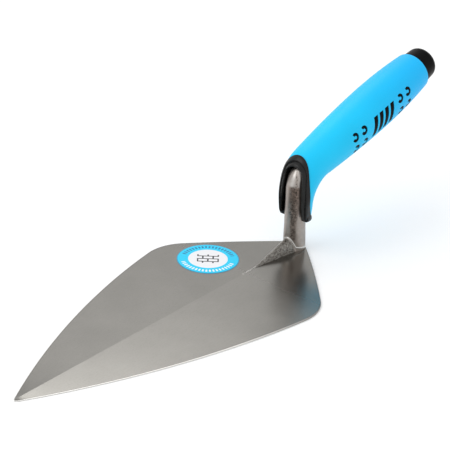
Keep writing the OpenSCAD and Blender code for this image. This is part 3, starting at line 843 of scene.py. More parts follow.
class GripShape:
    """The moulded skin of the grip: skirt, finger curve and barrel, worked out from its sizes."""

    def __init__(self, sizes, axis, collar):
        self.sizes = s = sizes
        self.axis = axis
        self.collar = collar
        rise = axis.rise
        reach = s.neck_d / 2 + s.finger_radius
        self.neck_at = (s.guard_back + s.finger_radius - math.sin(rise) * reach) / math.cos(rise)
        self.finger_x = -s.guard_back - s.finger_radius
        self.finger_z = axis.along(self.neck_at)[1] - reach * math.cos(rise)
        self.guard_bottom = self.finger_z - s.guard_skirt
        self.rim_top = self.guard_bottom + collar.rim_height
        self.leg_bottom = self.guard_bottom + s.guard_front * math.tan(s.guard_tilt)
        self.nose_reach = s.guard_front - self.finger_x
        self.neck_reach = s.finger_radius + s.neck_d
        self.arch_r = axis.sizes.bar_d / 2 + collar.clearance
        self.front_power, self.back_power = 4, 2.2
        self.neck_power, self.butt_power = 1.8, 2.1

    def barrel_radius(self, t):
        s = self.sizes
        if t < s.belly_at:
            share = ((s.belly_at - t) / (s.belly_at - self.neck_at)) ** self.neck_power
            return blend(s.belly_d, s.neck_d, share) / 2
        share = ((t - s.belly_at) / (s.barrel_end - s.belly_at)) ** self.butt_power
        return blend(s.belly_d, s.butt_d, share) / 2

    def nose_distance(self, a):
        """From the finger curve's centre to the outside of the nose."""
        s = self.sizes
        front = self.nose_reach / math.cos(a)
        top = self.neck_reach * math.cos(s.nose_dip) / math.cos(self.axis.bend - s.nose_dip - a)
        k = s.nose_sharpness
        return (front ** -k + top ** -k) ** (-1 / k)

    def fan_station(self, a, proud=0):
        """Middle x and z, direction, front, back and side reach, front and back squareness."""
        s = self.sizes
        u = a / self.axis.bend
        middle = s.finger_radius + blend(s.guard_back, s.neck_d / 2, u)
        grow = proud * math.sin(math.pi * u)
        return (
            self.finger_x + middle * math.cos(a), self.finger_z + middle * math.sin(a), a,
            self.nose_distance(a) - middle + grow, middle - s.finger_radius,
            blend(s.guard_width, s.neck_d, u) / 2 + grow,
            blend(2, self.front_power, (1 - u) ** 3), blend(self.back_power, 2, u),
        )

    def below_fan(self, drop, tilt, front_inset, inset):
        """The fan's first station moved down, tilted and drawn in."""
        x, z, _, front, back, side, front_power, back_power = self.fan_station(0)
        return x, z - drop, tilt, front - front_inset, back - inset, side - inset, front_power, back_power

    def barrel_station(self, t, inset=0):
        x, z = self.axis.along(t)
        r = self.barrel_radius(t) - inset
        return x, z, self.axis.bend, r, r, r, 2, 2

    def stations(self):
        """All stations of the sleeve from the guard's lower edge to the butt."""
        s = self.sizes
        leg_round = self.collar.leg_round
        chain = []
        for turn in np.radians(np.linspace(0, 90, 7)):
            short = 1 - math.sin(turn)
            chain.append(self.below_fan(
                s.guard_skirt - leg_round * (1 - math.cos(turn)), s.guard_tilt,
                s.guard_taper + leg_round * short, s.guard_taper + s.guard_edge * short,
            ))
        for share in np.linspace(1, 0, 10)[1:-1]:
            inset = share * s.guard_taper
            chain.append(self.below_fan(
                share * (s.guard_skirt - leg_round), share * s.guard_tilt, inset, inset,
            ))
        chain += [self.fan_station(a) for a in np.linspace(0, self.axis.bend, 72)]
        straight = np.linspace(self.neck_at, s.barrel_end - s.butt_lip, 130)
        chain += [self.barrel_station(t) for t in straight[1:]]
        for turn in np.radians(np.linspace(0, 90, 6)[1:]):
            t = s.barrel_end - s.butt_lip * (1 - math.sin(turn))
            chain.append(self.barrel_station(t, s.butt_lip * (1 - math.cos(turn))))
        return chain

    def front_x(self, y, z):
        """How far ahead the collar's skin lies, seen from the front; far behind where there is none."""
        low, high = 0.0, self.axis.bend
        inset = self.sizes.guard_taper * np.clip((self.finger_z - z) / self.sizes.guard_skirt, 0, 1)
        for _ in range(44):
            a = (low + high) / 2
            place_x, place_z, _, front, _, side, power, _ = self.fan_station(a, self.collar.nose_proud)
            out = (front - inset) * max(0.0, 1 - (abs(y) / (side - inset)) ** power) ** (1 / power)
            if place_z + out * math.sin(a) < z:
                low = a
            else:
                high = a
        return place_x + out * math.cos(a) if out > 0 else -REACH

    def seam_x(self, z):
        """Where the collar's bowed seam runs at a height."""
        s = self.collar
        return s.seam_ahead - s.seam_radius + np.sqrt(s.seam_radius ** 2 - (z - s.seam_middle) ** 2)

    def arch_half(self, z):
        """Half the width of the arch below its round top: it splays towards the legs' ends."""
        spring = self.collar.arch_height - self.arch_r
        share = np.clip((spring - z) / (spring - self.leg_bottom), 0, 1)
        return blend(self.arch_r, self.collar.arch_foot / 2, share)


def grip_shape(s):
    """The grip's shape from all the settings."""
    return GripShape(s.grip, BarAxis(s.shank), s.collar)


def skin_ring(station, turns):
    """Rounded section of the skin, with its own reach and squareness in front and behind."""
    x, z, a, front, back, side, front_power, back_power = station
    ahead = np.cos(turns) >= 0
    power = 2 / np.where(ahead, front_power, back_power)
    along = np.where(ahead, front, back) * np.sign(np.cos(turns)) * np.abs(np.cos(turns)) ** power
    across = side * np.sign(np.sin(turns)) * np.abs(np.sin(turns)) ** power
    return np.column_stack([x + along * math.cos(a), across, z + along * math.sin(a)])


def lathe(name, axis, profile, sides):
    """A solid turned round the grip's axis from pairs of radius and place."""
    return ring_solid(name, turned_rings(axis, profile, full_turn(sides)))


def bar_room(axis, clearance):
    """The room that the bent bar takes in the grip."""
    return ring_solid("bar_room", bar_rings(axis, clearance, 0, 12, 30, 96))


def prism(name, outline, axis):
    """A cutting block with an outline of pairs, pushed far both ways along x or y."""
    across, high = np.asarray(outline, float).T
    rings = []
    for far in (-REACH, REACH):
        flat = np.full(len(high), far)
        rings.append(np.column_stack([flat, across, high] if axis == "x" else [across, flat, high]))
    return ring_solid(name, rings)


def arch_block(shape, grow):
    """The arch through the nose, seen from the front, with its back pushed into the grip."""
    collar = shape.collar
    spring = collar.arch_height - shape.arch_r
    bow = arc((0, spring), shape.arch_r + grow, 0, math.pi, 48)
    wide = collar.arch_foot / 2 + grow
    foot = shape.leg_bottom
    outline = np.concatenate([[(wide, 0), (wide, foot)], bow, [(-wide, foot), (-wide, 0)]])
    tool = prism("arch_block", outline, "x")
    back = -collar.arch_depth - grow
    for corner in tool.data.vertices:
        corner.co.x = max(corner.co.x, back)
    return tool


def make_sleeve(s, shape):
    """The soft sleeve: skin, less the collar's share, the bar's room, the core and the pockets."""
    turns = full_turn(176)
    sleeve = ring_solid("grip_sleeve_soft", [skin_ring(st, turns) for st in shape.stations()])
    low, high, lap = 14 * MM, 90 * MM, 0.3 * MM
    heights = np.linspace(high, low, 60)
    seam = np.column_stack([shape.seam_x(heights) - lap, heights])
    carve(sleeve, prism("front", np.concatenate([[(REACH, low), (REACH, high)], seam]), "y"))
    fall = REACH * math.tan(s.grip.guard_tilt)
    under = [(-REACH, 0), (REACH, 0), (REACH, shape.rim_top + fall), (-REACH, shape.rim_top - fall)]
    carve(sleeve, prism("under", under, "y"))
    carve(sleeve, arch_block(shape, s.collar.lining))
    carve(sleeve, bar_room(shape.axis, s.collar.clearance))
    carve(sleeve, lathe("core_room", shape.axis, core_profile(shape), 96))
    for side in (LEFT, RIGHT):
        carve(sleeve, bar_row(s.inlays, shape, side, s.inlays.clearance))
        for first in (s.inlays.front_rings_at, s.inlays.rear_rings_at):
            carve(sleeve, ring_group(s.inlays, shape, first, side, s.inlays.clearance))
    shade(sleeve, 38)
    return sleeve


def core_profile(shape):
    """The core's outside, one wall inside the barrel, and on past the butt."""
    s = shape.sizes
    start, far = shape.axis.bar_end, s.barrel_end + OVERCUT
    side = [(shape.barrel_radius(t) - s.wall, t) for t in np.linspace(shape.neck_at, s.barrel_end, 60)]
    return [(0, start), (s.neck_d / 2 - s.wall, start)] + side + [(side[-1][0], far), (0, far)]


# Collar


def collar_section(shape, s, inner, origin, way, short):
    """Closed section of the collar in a plane that looks out from the arch's middle line.

    Pairs of distance from the middle line and x, from the middle of the back wall round the lip,
    the groove and the outer ridge to the seam. Near a leg's end the section is short by a share of
    the leg's rounding."""
    def height(distance):
        return origin[1] + way[1] * distance

    def ahead(distance):
        return shape.front_x(origin[0] + way[0] * distance, height(distance))

    def seam(distance):
        return shape.seam_x(height(distance))

    widest, touching = 12 * MM, 0.02 * MM
    low, high = inner, inner + widest
    for _ in range(40):
        edge = (low + high) / 2
        if ahead(edge) > seam(edge) + touching:
            low = edge
        else:
            high = edge
    drawn = s.leg_round * short
    start = inner + min(drawn, 0.7 * (edge - inner))
    lip = min(s.lip_radius, 0.3 * (edge - start))
    front = []
    for turn in np.radians(np.linspace(0, 90, 8)):
        x = ahead(start + lip) - drawn - lip * (1 - math.sin(turn))
        front.append((start + lip * (1 - math.cos(turn)), x))
    groove_at = start + lip + 0.36 * (edge - start - lip)
    for u in np.linspace(0, 1, 26)[1:]:
        distance = blend(start + lip, edge, math.sin(u * math.pi / 2))
        x = ahead(distance) - drawn
        x -= s.groove_depth * (1 - short) * math.exp(-((distance - groove_at) / s.groove_width) ** 2)
        front.append((distance, x))
    front = np.array(front)
    soft = np.clip((edge - front[:, 0]) / s.edge_radius, 0, 1)
    front[:, 1] -= 0.5 * s.edge_radius * (1 - np.sqrt(1 - (1 - soft) ** 2))
    front[:, 1] = np.maximum(front[:, 1], [seam(distance) for distance in front[:, 0]])
    rear, lining = -s.arch_depth - s.lining, inner + s.lining
    tuck, thin = 0.25 * MM, 0.2 * MM
    nip, step, slope = 0.12 * MM, 0.1 * MM, 0.6 * MM
    behind = max(seam(edge) - tuck, rear + thin)
    tail = [
        (edge - nip, behind + step), (edge - slope, behind),
        (max(lining, start + thin), behind), (lining, rear), (0, rear),
    ]
    head = [(0, -s.arch_depth), (inner, -s.arch_depth), (start, -0.4 * s.arch_depth)]
    return np.concatenate([head, front, tail])


def make_collar(s, shape):
    """The collar: two ridges round the arch with two legs, and a rolled rim under the guard."""
    sizes = s.collar
    spring = sizes.arch_height - shape.arch_r
    lift = 0.05 * MM
    foot = shape.leg_bottom + lift
    leg = np.concatenate([
        foot + sizes.leg_round * (1 - np.cos(np.radians(np.linspace(0, 90, 12)))),
        np.linspace(foot + sizes.leg_round, spring, 40)[1:],
    ])
    places = []
    for z in leg:
        v = min(1.0, (z - foot) / sizes.leg_round)
        short = 1 - math.sqrt(max(0, 1 - (1 - v) ** 2))
        places.append((shape.arch_half(z), (0, z), (1, 0), short))
    for turn in np.linspace(0, math.pi / 2, 30)[1:]:
        places.append((shape.arch_r, (0, spring), (math.cos(turn), math.sin(turn)), 0.0))
    rings = []
    for inner, origin, way, short in places:
        distance, x = collar_section(shape, sizes, inner, origin, way, short).T
        rings.append(np.column_stack([x, origin[0] + way[0] * distance, origin[1] + way[1] * distance]))
    rings += [ring * (1, -1, 1) for ring in reversed(rings[:-1])]
    columns = len(rings[0])
    faces = grid_faces(len(rings), columns)
    last = (len(rings) - 1) * columns
    faces.append(tuple(range(columns)) + tuple(last + i for i in reversed(range(columns))))
    collar = solid("nose_collar_bead", np.concatenate(rings), faces)
    carve(collar, make_rim(s, shape), "UNION")
    carve(collar, bar_room(shape.axis, sizes.clearance))
    shade(collar, 40)
    return collar


def make_rim(s, shape):
    """The rolled rim under the guard, from leg to leg round the back."""
    grip, sizes = s.grip, s.collar
    turns = np.radians(np.linspace(74, 286, 130))
    rings = []
    for turn in np.radians(np.linspace(-90, 90, 15)):
        drop = grip.guard_skirt - sizes.rim_height * (1 + math.sin(turn)) / 2
        inset = grip.guard_taper + grip.guard_edge - (grip.guard_edge + sizes.rim_proud) * math.cos(turn)
        station = shape.below_fan(drop, grip.guard_tilt, grip.guard_taper + sizes.leg_round, inset)
        rings.append(skin_ring(station, turns))
    inside_post = 0.5 * MM
    hole = shape.axis.post_radius(shape.guard_bottom) - inside_post
    x = shape.axis.post_x(shape.guard_bottom) + hole * np.cos(turns)
    for z in (shape.rim_top, shape.guard_bottom):
        rings.append(np.column_stack([x, hole * np.sin(turns), z + x * math.tan(grip.guard_tilt)]))
    return ring_solid("rim", np.stack(rings, 1))


# Cap


def make_cap(cap, axis, end):
    """The end cap with its spigot, softly rounded."""
    radius, edge = cap.diameter / 2, 0.35 * MM
    rim_at = end + cap.length - cap.dome - cap.corner
    profile = [(0, end - cap.spigot_length), (cap.spigot_d / 2, end - cap.spigot_length)]
    profile += [(cap.spigot_d / 2, end), (radius - edge, end), (radius, end + edge)]
    for share in np.linspace(0.08, 1, 9):
        profile.append((radius - share * cap.taper, blend(end, rim_at, share)))
    shoulder = radius - cap.taper - cap.corner
    for turn in np.radians(np.linspace(0, 90, 18)[1:]):
        profile.append((shoulder + cap.corner * math.cos(turn), rim_at + cap.corner * math.sin(turn)))
    for share in np.linspace(1, 0, 10)[1:]:
        profile.append((shoulder * share, end + cap.length - cap.dome * share ** 2))
    piece = lathe("end_cap_moulded", axis, profile, 112)
    shade(piece, 40)
    return piece


# Node trees


def plant(tree, kind, feeds=None, **looks):
    """Adds a node, sets what it is and feeds its sockets with values or with other sockets."""
    node = tree.nodes.new(kind)
    for key, value in looks.items():
        setattr(node, key, value)
    for socket, value in (feeds or {}).items():
        if isinstance(value, bpy.types.NodeSocket):
            tree.links.new(value, node.inputs[socket])
        else:
            node.inputs[socket].default_value = value
    return node


def calc(tree, operation, *values):
    """The result of one sum."""
    return plant(tree, "ShaderNodeMath", dict(enumerate(values)), operation=operation).outputs[0]


def split(tree, vector):
    """The x, y and z of a vector."""
    return plant(tree, "ShaderNodeSeparateXYZ", {0: vector}).outputs


def joined(tree, *values):
    """A vector of x, y and z; those left out are 0."""
    return plant(tree, "ShaderNodeCombineXYZ", dict(enumerate(values))).outputs[0]


def new_node_tree(name, inputs):
    """A geometry tree with named inputs; gives the tree and its inputs by name."""
    tree = bpy.data.node_groups.new(name, "GeometryNodeTree")
    tree.is_modifier = True
    tree.interface.new_socket("Geometry", in_out="OUTPUT", socket_type="NodeSocketGeometry")
    for label, kind in inputs.items():
        tree.interface.new_socket(label, in_out="INPUT", socket_type=f"NodeSocket{kind}")
    given = tree.nodes.new("NodeGroupInput")
    return tree, {label: given.outputs[label] for label in inputs}


def close_tree(tree, geometry):
    """Realizes the copies and ends the tree."""
    real = plant(tree, "GeometryNodeRealizeInstances", {"Geometry": geometry})
    plant(tree, "NodeGroupOutput", {0: real.outputs[0]})


def grow_tree(name, tree, values):
    """Runs a tree with its inputs set, and gives the result as a plain mesh object."""
    carrier = new_object(name, bpy.data.meshes.new(name))
    modifier = carrier.modifiers.new(name, "NODES")
    modifier.node_group = tree
    for item in tree.interface.items_tree:
        if item.in_out == "INPUT":
            modifier[item.identifier] = values[item.name]
    settle(carrier)
    return carrier


def seat_inlays(inlays, shape, sharp_degrees):
    """Carries inlays from the grip's own frame to their place, and closes and shades their mesh."""
    inlays.data.transform(shape.axis.carry())
    grown = bmesh.new()
    grown.from_mesh(inlays.data)
    close_up(grown, inlays.data)
    shade(inlays, sharp_degrees)
    return inlays


RING_INPUTS = dict.fromkeys((
    "First place", "Pitch", "Side turn", "Row turn", "Start", "Sweep",
    "First radius", "Second radius", "Middle radius", "Width", "Thickness", "Corner",
), "Float")


def ring_tree():
    """Four flat open rings on the barrel: two places along it and two rows round it."""
    tree, put = new_node_tree("ring_group", RING_INPUTS)
    grid = plant(tree, "GeometryNodeMeshGrid", {
        "Size X": put["Pitch"], "Size Y": calc(tree, "MULTIPLY", put["Row turn"], 2),
        "Vertices X": 2, "Vertices Y": 2,
    })
    spot = split(tree, plant(tree, "GeometryNodeInputPosition").outputs[0])
    step = calc(tree, "ADD", calc(tree, "DIVIDE", spot[0], put["Pitch"]), 0.5)
    place = calc(tree, "MULTIPLY_ADD", step, put["Pitch"], put["First place"])
    turn = calc(tree, "ADD", spot[1], put["Side turn"])
    gain = calc(tree, "SUBTRACT", put["Second radius"], put["First radius"])
    radius = calc(tree, "MULTIPLY_ADD", step, gain, put["First radius"])
    up = calc(tree, "MULTIPLY", radius, calc(tree, "COSINE", turn))
    aside = calc(tree, "MULTIPLY", radius, calc(tree, "SINE", turn))
    seats = plant(tree, "GeometryNodeSetPosition", {
        "Geometry": grid.outputs[0], "Position": joined(tree, up, aside, place),
    })
    line = plant(tree, "GeometryNodeCurveArc", {
        "Resolution": 48, "Radius": put["Middle radius"],
        "Start Angle": put["Start"], "Sweep Angle": put["Sweep"],
    }, mode="RADIUS")
    section = plant(tree, "GeometryNodeCurvePrimitiveQuadrilateral", {
        "Width": put["Width"], "Height": put["Thickness"],
    })
    soft = plant(tree, "GeometryNodeFilletCurve", {
        "Curve": section.outputs[0], "Radius": put["Corner"],
    })
    ring = plant(tree, "GeometryNodeCurveToMesh", {
        "Curve": line.outputs[0], "Profile Curve": soft.outputs[0], "Fill Caps": True,
    })
    facing = calc(tree, "ARCTAN2", spot[1], spot[0])
    rings = plant(tree, "GeometryNodeInstanceOnPoints", {
        "Points": seats.outputs[0], "Instance": ring.outputs[0],
        "Rotation": joined(tree, 0, math.pi / 2, facing),
    })
    close_tree(tree, rings.outputs[0])
    return tree


def ring_group(inlays, shape, first, side, grow):
    """One group of rings, or with a clearance the tool that cuts its grooves."""
    cutting = grow > 0
    depth = inlays.ring_recess + inlays.ring_thickness
    thickness = depth + OVERCUT if cutting else inlays.ring_thickness
    outer, inner = inlays.ring_d / 2 + grow, inlays.dot_d / 2 - grow
    sink = depth - thickness / 2
    middle = (outer + inner) / 2
    half_gap = inlays.ring_gap / 2 - grow / middle
    tree = bpy.data.node_groups.get("ring_group") or ring_tree()
    rings = grow_tree("ring_group", tree, {
        "First place": first, "Pitch": inlays.ring_pitch,
        "Side turn": side * (math.pi / 2 + inlays.ring_drop),
        "Row turn": inlays.row_gap / shape.sizes.belly_d,
        "Start": half_gap - side * inlays.gap_lift, "Sweep": 2 * (math.pi - half_gap),
        "First radius": shape.barrel_radius(first) - sink,
        "Second radius": shape.barrel_radius(first + inlays.ring_pitch) - sink,
        "Middle radius": middle, "Width": outer - inner, "Thickness": thickness,
        "Corner": inlays.groove_corner if cutting else inlays.ring_corner,
    })
    return seat_inlays(rings, shape, 60)


BAR_INPUTS = {"Count": "Int"} | dict.fromkeys((
    "Width", "Height", "Pitch", "Slope", "Middle", "Side", "Recess", "Thickness",
    "Belly radius", "Swell", "Belly place", "Swell run", "Swell power",
), "Float")


def bar_tree():
    """A row of slanted bars laid on the barrel and thickened inwards."""
    tree, put = new_node_tree("bar_row", BAR_INPUTS)
    gaps = calc(tree, "SUBTRACT", put["Count"], 1)
    start = calc(tree, "MULTIPLY", calc(tree, "MULTIPLY", gaps, -0.5), put["Pitch"])
    line = plant(tree, "GeometryNodeMeshLine", {
        "Count": put["Count"],
        "Start Location": joined(tree, start), "Offset": joined(tree, put["Pitch"]),
    })
    grid = plant(tree, "GeometryNodeMeshGrid", {
        "Size X": put["Width"], "Size Y": put["Height"], "Vertices X": 6, "Vertices Y": 26,
    })
    flat = plant(tree, "GeometryNodeInstanceOnPoints", {
        "Points": line.outputs[0], "Instance": grid.outputs[0],
    })
    sheet = plant(tree, "GeometryNodeRealizeInstances", {"Geometry": flat.outputs[0]})
    spot = split(tree, plant(tree, "GeometryNodeInputPosition").outputs[0])
    up = spot[1]
    leaned = calc(tree, "MULTIPLY_ADD", up, put["Slope"], spot[0])
    place = calc(tree, "ADD", leaned, put["Middle"])
    away = calc(tree, "ABSOLUTE", calc(tree, "SUBTRACT", put["Belly place"], place))
    share = calc(tree, "POWER", calc(tree, "DIVIDE", away, put["Swell run"]), put["Swell power"])
    drop = calc(tree, "MULTIPLY_ADD", share, put["Swell"], put["Recess"])
    radius = calc(tree, "SUBTRACT", put["Belly radius"], drop)
    squares = calc(tree, "SUBTRACT", calc(tree, "POWER", radius, 2), calc(tree, "POWER", up, 2))
    aside = calc(tree, "MULTIPLY", calc(tree, "SQRT", squares), put["Side"])
    face = plant(tree, "GeometryNodeSetPosition", {
        "Geometry": sheet.outputs[0], "Position": joined(tree, up, aside, place),
    }).outputs[0]
    inward = calc(tree, "MULTIPLY", calc(tree, "MULTIPLY", put["Thickness"], put["Side"]), -1)
    depth = plant(tree, "GeometryNodeExtrudeMesh", {
        "Mesh": face, "Offset Scale": inward, "Individual": False,
    })
    under = plant(tree, "GeometryNodeFlipFaces", {"Mesh": depth.outputs[0]})
    both = plant(tree, "GeometryNodeJoinGeometry")
    tree.links.new(face, both.inputs[0])
    tree.links.new(under.outputs[0], both.inputs[0])
    closed = plant(tree, "GeometryNodeMergeByDistance", {"Geometry": both.outputs[0], "Distance": 1e-6})
    close_tree(tree, closed.outputs[0])
    return tree


def bar_row(inlays, shape, side, grow):
    """One row of bars, or with a clearance the tool that cuts its pockets."""
    cutting = grow > 0
    depth = inlays.bar_recess + inlays.bar_thickness
    recess = -OVERCUT if cutting else inlays.bar_recess
    s = shape.sizes
    tree = bpy.data.node_groups.get("bar_row") or bar_tree()
    bars = grow_tree("bar_row", tree, {
        "Count": inlays.bar_count, "Width": inlays.bar_width + 2 * grow,
        "Height": inlays.bar_height + 2 * grow, "Pitch": inlays.bar_pitch,
        "Slope": inlays.bar_slant / inlays.bar_height, "Middle": inlays.bars_at,
        "Side": float(side), "Recess": recess, "Thickness": depth - recess,
        "Belly radius": s.belly_d / 2, "Swell": (s.belly_d - s.neck_d) / 2,
        "Belly place": s.belly_at, "Swell run": s.belly_at - shape.neck_at,
        "Swell power": shape.neck_power,
    })
    return seat_inlays(bars, shape, 40)


# Label


def make_label(label, blade):
    """A thin film that follows the blade's top, with a softly cut edge."""
    radius = label.diameter / 2
    turns = full_turn(128)
    film = label.thickness
    profile = [(0, film), (0.35, film), (0.7, film), (0.97, film), (0.993, 0.85 * film)]
    profile += [(1.0, 0.5 * film), (1.0, 0.05 * film), (0.5, 0.05 * film), (0, 0.05 * film)]
    rings = []
    for share, rise in profile:
        x = label.ahead + radius * share * np.cos(turns)
        y = -label.aside + radius * share * np.sin(turns)
        rings.append(np.column_stack([x, y, blade.top(x, y) + rise]))
    piece = solid("round_label", np.concatenate(rings), grid_faces(len(rings), len(turns), wrap=True))
    shade(piece, 50)
    return piece


# Finishes


def new_finish(name):
    """A material with its tree, its surface shader and its object coordinates."""
    finish = bpy.data.materials.new(name)
    finish.use_nodes = True
    tree = finish.node_tree
    place = plant(tree, "ShaderNodeTexCoord").outputs["Object"]
    return finish, tree, tree.nodes["Principled BSDF"], place


def grain(tree, place, scale, detail=2.0, roughness=0.5):
    """Even noise from 0 to 1."""
    return plant(tree, "ShaderNodeTexNoise", {
        "Vector": place, "Scale": scale, "Detail": detail, "Roughness": roughness,
    }).outputs[0]


def spread(tree, value, low, high, to_low=0.0, to_high=1.0):
    """Carries a value from one range to another."""
    return plant(tree, "ShaderNodeMapRange", {
        "Value": value, "From Min": low, "From Max": high, "To Min": to_low, "To Max": to_high,
    }).outputs[0]


def tint(tree, share, a, b):
    """Mixes two colours."""
    return plant(tree, "ShaderNodeMix", {0: share, 6: a, 7: b}, data_type="RGBA").outputs[2]


def opaque(colour, gain=1.0):
    """A colour property as a socket's value."""
    return tuple(min(1.0, channel * gain) for channel in colour) + (1.0,)


def feed(tree, shader, socket, value):
    tree.links.new(value, shader.inputs[socket])


def raise_grain(tree, shader, height, distance, strength):
    """Turns a height into fine relief."""
    bump = plant(tree, "ShaderNodeBump", {"Height": height, "Distance": distance, "Strength": strength})
    feed(tree, shader, "Normal", bump.outputs[0])


def stored(tree, name):
    """A number stored on the mesh's points."""
    return plant(tree, "ShaderNodeAttribute", attribute_name=name).outputs["Fac"]


def ground_steel(colours):
    """Flat-ground spring steel: fine grind lines that lean from the ridge and faint clouding, with painted
    light:
    a painted highlight over the left half, a bright edge that is partly wear and partly painted highlight,
    painted shade on that edge near the heel and a painted dark line just inside it.
    """
    finish, tree, shader, place = new_finish("ground_steel")
    x, y, _ = split(tree, place)
    laid = plant(tree, "ShaderNodeMapping", {
        "Vector": joined(tree, x, calc(tree, "ABSOLUTE", y)),
        "Rotation": (0, 0, math.radians(-62)), "Scale": (90, 4200, 1),
    })
    lines = grain(tree, laid.outputs[0], 1.0, 3.0, 0.62)
    clouds = grain(tree, place, 26.0, 4.0, 0.55)
    specks = grain(tree, place, 900.0, 2.0, 0.6)
    tone = calc(tree, "MULTIPLY_ADD", lines, 0.5, calc(tree, "MULTIPLY", clouds, 0.5))
    low, high = opaque(colours.ground, 0.9), opaque(colours.ground, 1.1)
    steel = tint(tree, spread(tree, tone, 0.3, 0.7), low, high)
    dust = spread(tree, specks, 0.5, 0.75, 0.0, 0.22)
    steel = tint(tree, dust, steel, opaque(colours.ground, 0.6))
    # Painted highlight: the left half is made brighter, more so towards the toe, in place of a lamp's
    # reflection.
    ridge_half, sheen_from, sheen_to = 0.15 * MM, 20 * MM, 235 * MM
    painted_sheen_half = spread(tree, y, -ridge_half, ridge_half)
    lift = spread(tree, x, sheen_from, sheen_to, 0.05, 0.235)
    gain = calc(tree, "MULTIPLY_ADD", painted_sheen_half, lift, 1.04)
    steel = plant(tree, "ShaderNodeVectorMath", {0: steel, "Scale": gain}, operation="SCALE").outputs[0]
    near_edge = stored(tree, "near_edge")
    # Painted shade: a dark line just inside the edge band.
    wear_and_painted_light = calc(tree, "SUBTRACT", spread(tree, near_edge, 0.62, 0.72), spread(tree, near_edge, 0.76, 0.86))
    steel = tint(tree, calc(tree, "MULTIPLY", wear_and_painted_light, 0.5), steel, opaque(colours.ground, 0.5))
    # Edge band: bright towards the toe, partly wear and partly painted highlight; near the heel painted
    # shade, darker than the steel.
    bright_from, bright_to = 50 * MM, 130 * MM
    toward_toe = spread(tree, x, bright_from, bright_to)
    edge_wear_highlight_and_shade = tint(tree, toward_toe, opaque(colours.ground, 0.5), opaque(colours.bright, 1.35))
    steel = tint(tree, spread(tree, near_edge, 0.82, 0.96, 0.0, 0.92), steel, edge_wear_highlight_and_shade)
    feed(tree, shader, "Base Color", steel)
    shader.inputs["Metallic"].default_value = 1.0
    rough = calc(tree, "MULTIPLY_ADD", lines, 0.02, spread(tree, clouds, 0.3, 0.7, 0.285, 0.295))
    smooth_to, rough_from = 26 * MM, 64 * MM
    rough = calc(tree, "ADD", rough, spread(tree, x, smooth_to, rough_from, -0.09, 0.0))
    feed(tree, shader, "Roughness", rough)
    raise_grain(tree, shader, lines, 0.004 * MM, 0.6)
    return finish


def forged_steel(colours):
    """Drop-forged steel: brown-grey scale, dark pits, a painted dark streak and painted shade, and painted
    highlights with a little real polish where the bar was rubbed.
    """
    finish, tree, shader, place = new_finish("forged_steel")
    patches = grain(tree, place, 120.0, 5.0, 0.62)
    fine = grain(tree, place, 1500.0, 3.0, 0.6)
    grit = grain(tree, place, 560.0, 6.0, 0.72)
    sand = grain(tree, place, 1050.0, 5.0, 0.66)
    pits, streak, bright, foot = (stored(tree, name) for name in ("pits", "streak", "bright", "foot"))
    tone = spread(tree, patches, 0.35, 0.65)
    steel = tint(tree, tone, opaque(colours.forged, 0.85), opaque(colours.forged, 1.2))
    steel = tint(tree, foot, steel, opaque(colours.ground, 1.5))
    speckle = spread(tree, grit, 0.43, 0.58, 0.0, 0.95)
    sprinkle = spread(tree, sand, 0.4, 0.6, 0.1, 0.75)
    speckle = calc(tree, "MULTIPLY_ADD", foot, calc(tree, "SUBTRACT", sprinkle, speckle), speckle)
    bloom = calc(tree, "MULTIPLY", stored(tree, "brown"), spread(tree, patches, 0.3, 0.7, 0.6, 1.0))
    steel = tint(tree, bloom, steel, opaque(colours.rust))
    # Painted shade and the post's painted dark streak, speckled; on the foot this is the foot's own dark
    # grain.
    dark = calc(tree, "MULTIPLY", streak, speckle)
    steel = tint(tree, dark, steel, opaque(colours.scale, 1.3))
    steel = tint(tree, spread(tree, pits, 0.05, 0.45), steel, opaque(colours.scale))
    # Painted highlights on the bead, the foot's fringe and the bend's sheen, with a little real polish on
    # the bend.
    wear_and_painted_light = calc(tree, "MULTIPLY", bright, spread(tree, patches, 0.3, 0.6, 0.7, 1.0))
    steel = tint(tree, wear_and_painted_light, steel, opaque(colours.bright))
    feed(tree, shader, "Base Color", steel)
    shader.inputs["Metallic"].default_value = 1.0
    rough = spread(tree, patches, 0.3, 0.7, 0.36, 0.5)
    rough = calc(tree, "SUBTRACT", rough, calc(tree, "MULTIPLY", bright, 0.16))
    feed(tree, shader, "Roughness", rough)
    raise_grain(tree, shader, fine, 0.03 * MM, 0.6)
    return finish


def soft_blue(colours):
    """Soft moulded sleeve: satin, a fine spark-eroded grain, faint clouding and painted shade that deepens
    the blue towards the butt.
    """
    finish, tree, shader, place = new_finish("grip_blue")
    clouds = grain(tree, place, 45.0, 3.0, 0.5)
    fine = grain(tree, place, 3200.0, 2.0, 0.55)
    base = tint(tree, spread(tree, clouds, 0.3, 0.7), opaque(colours.grip, 0.96), opaque(colours.grip, 1.02))
    along = split(tree, place)[0]
    # Painted shade: the blue darkens towards the butt.
    shade_full_at, shade_none_at = -125 * MM, -45 * MM
    base = tint(tree, spread(tree, along, shade_full_at, shade_none_at), opaque(colours.butt), base)
    feed(tree, shader, "Base Color", base)
    feed(tree, shader, "Roughness", spread(tree, fine, 0.3, 0.7, 0.40, 0.50))
    shader.inputs["Specular IOR Level"].default_value = 0.24
    raise_grain(tree, shader, fine, 0.012 * MM, 0.5)
    return finish


def moulded_black(name, colours, roughness, gloss, depth=1.0):
    """Black moulded plastic with a fine grain and faint clouding; less depth is blacker."""
    finish, tree, shader, place = new_finish(name)
    clouds = grain(tree, place, 160.0, 4.0, 0.6)
    fine = grain(tree, place, 2600.0, 2.0, 0.55)
    low, high = opaque(colours.black, 0.8 * depth), opaque(colours.black, 1.6 * depth)
    base = tint(tree, spread(tree, clouds, 0.35, 0.7), low, high)
    feed(tree, shader, "Base Color", base)
    feed(tree, shader, "Roughness", spread(tree, fine, 0.3, 0.7, roughness - 0.05, roughness + 0.06))
    shader.inputs["Specular IOR Level"].default_value = gloss
    raise_grain(tree, shader, fine, 0.014 * MM, 0.5)
    return finish


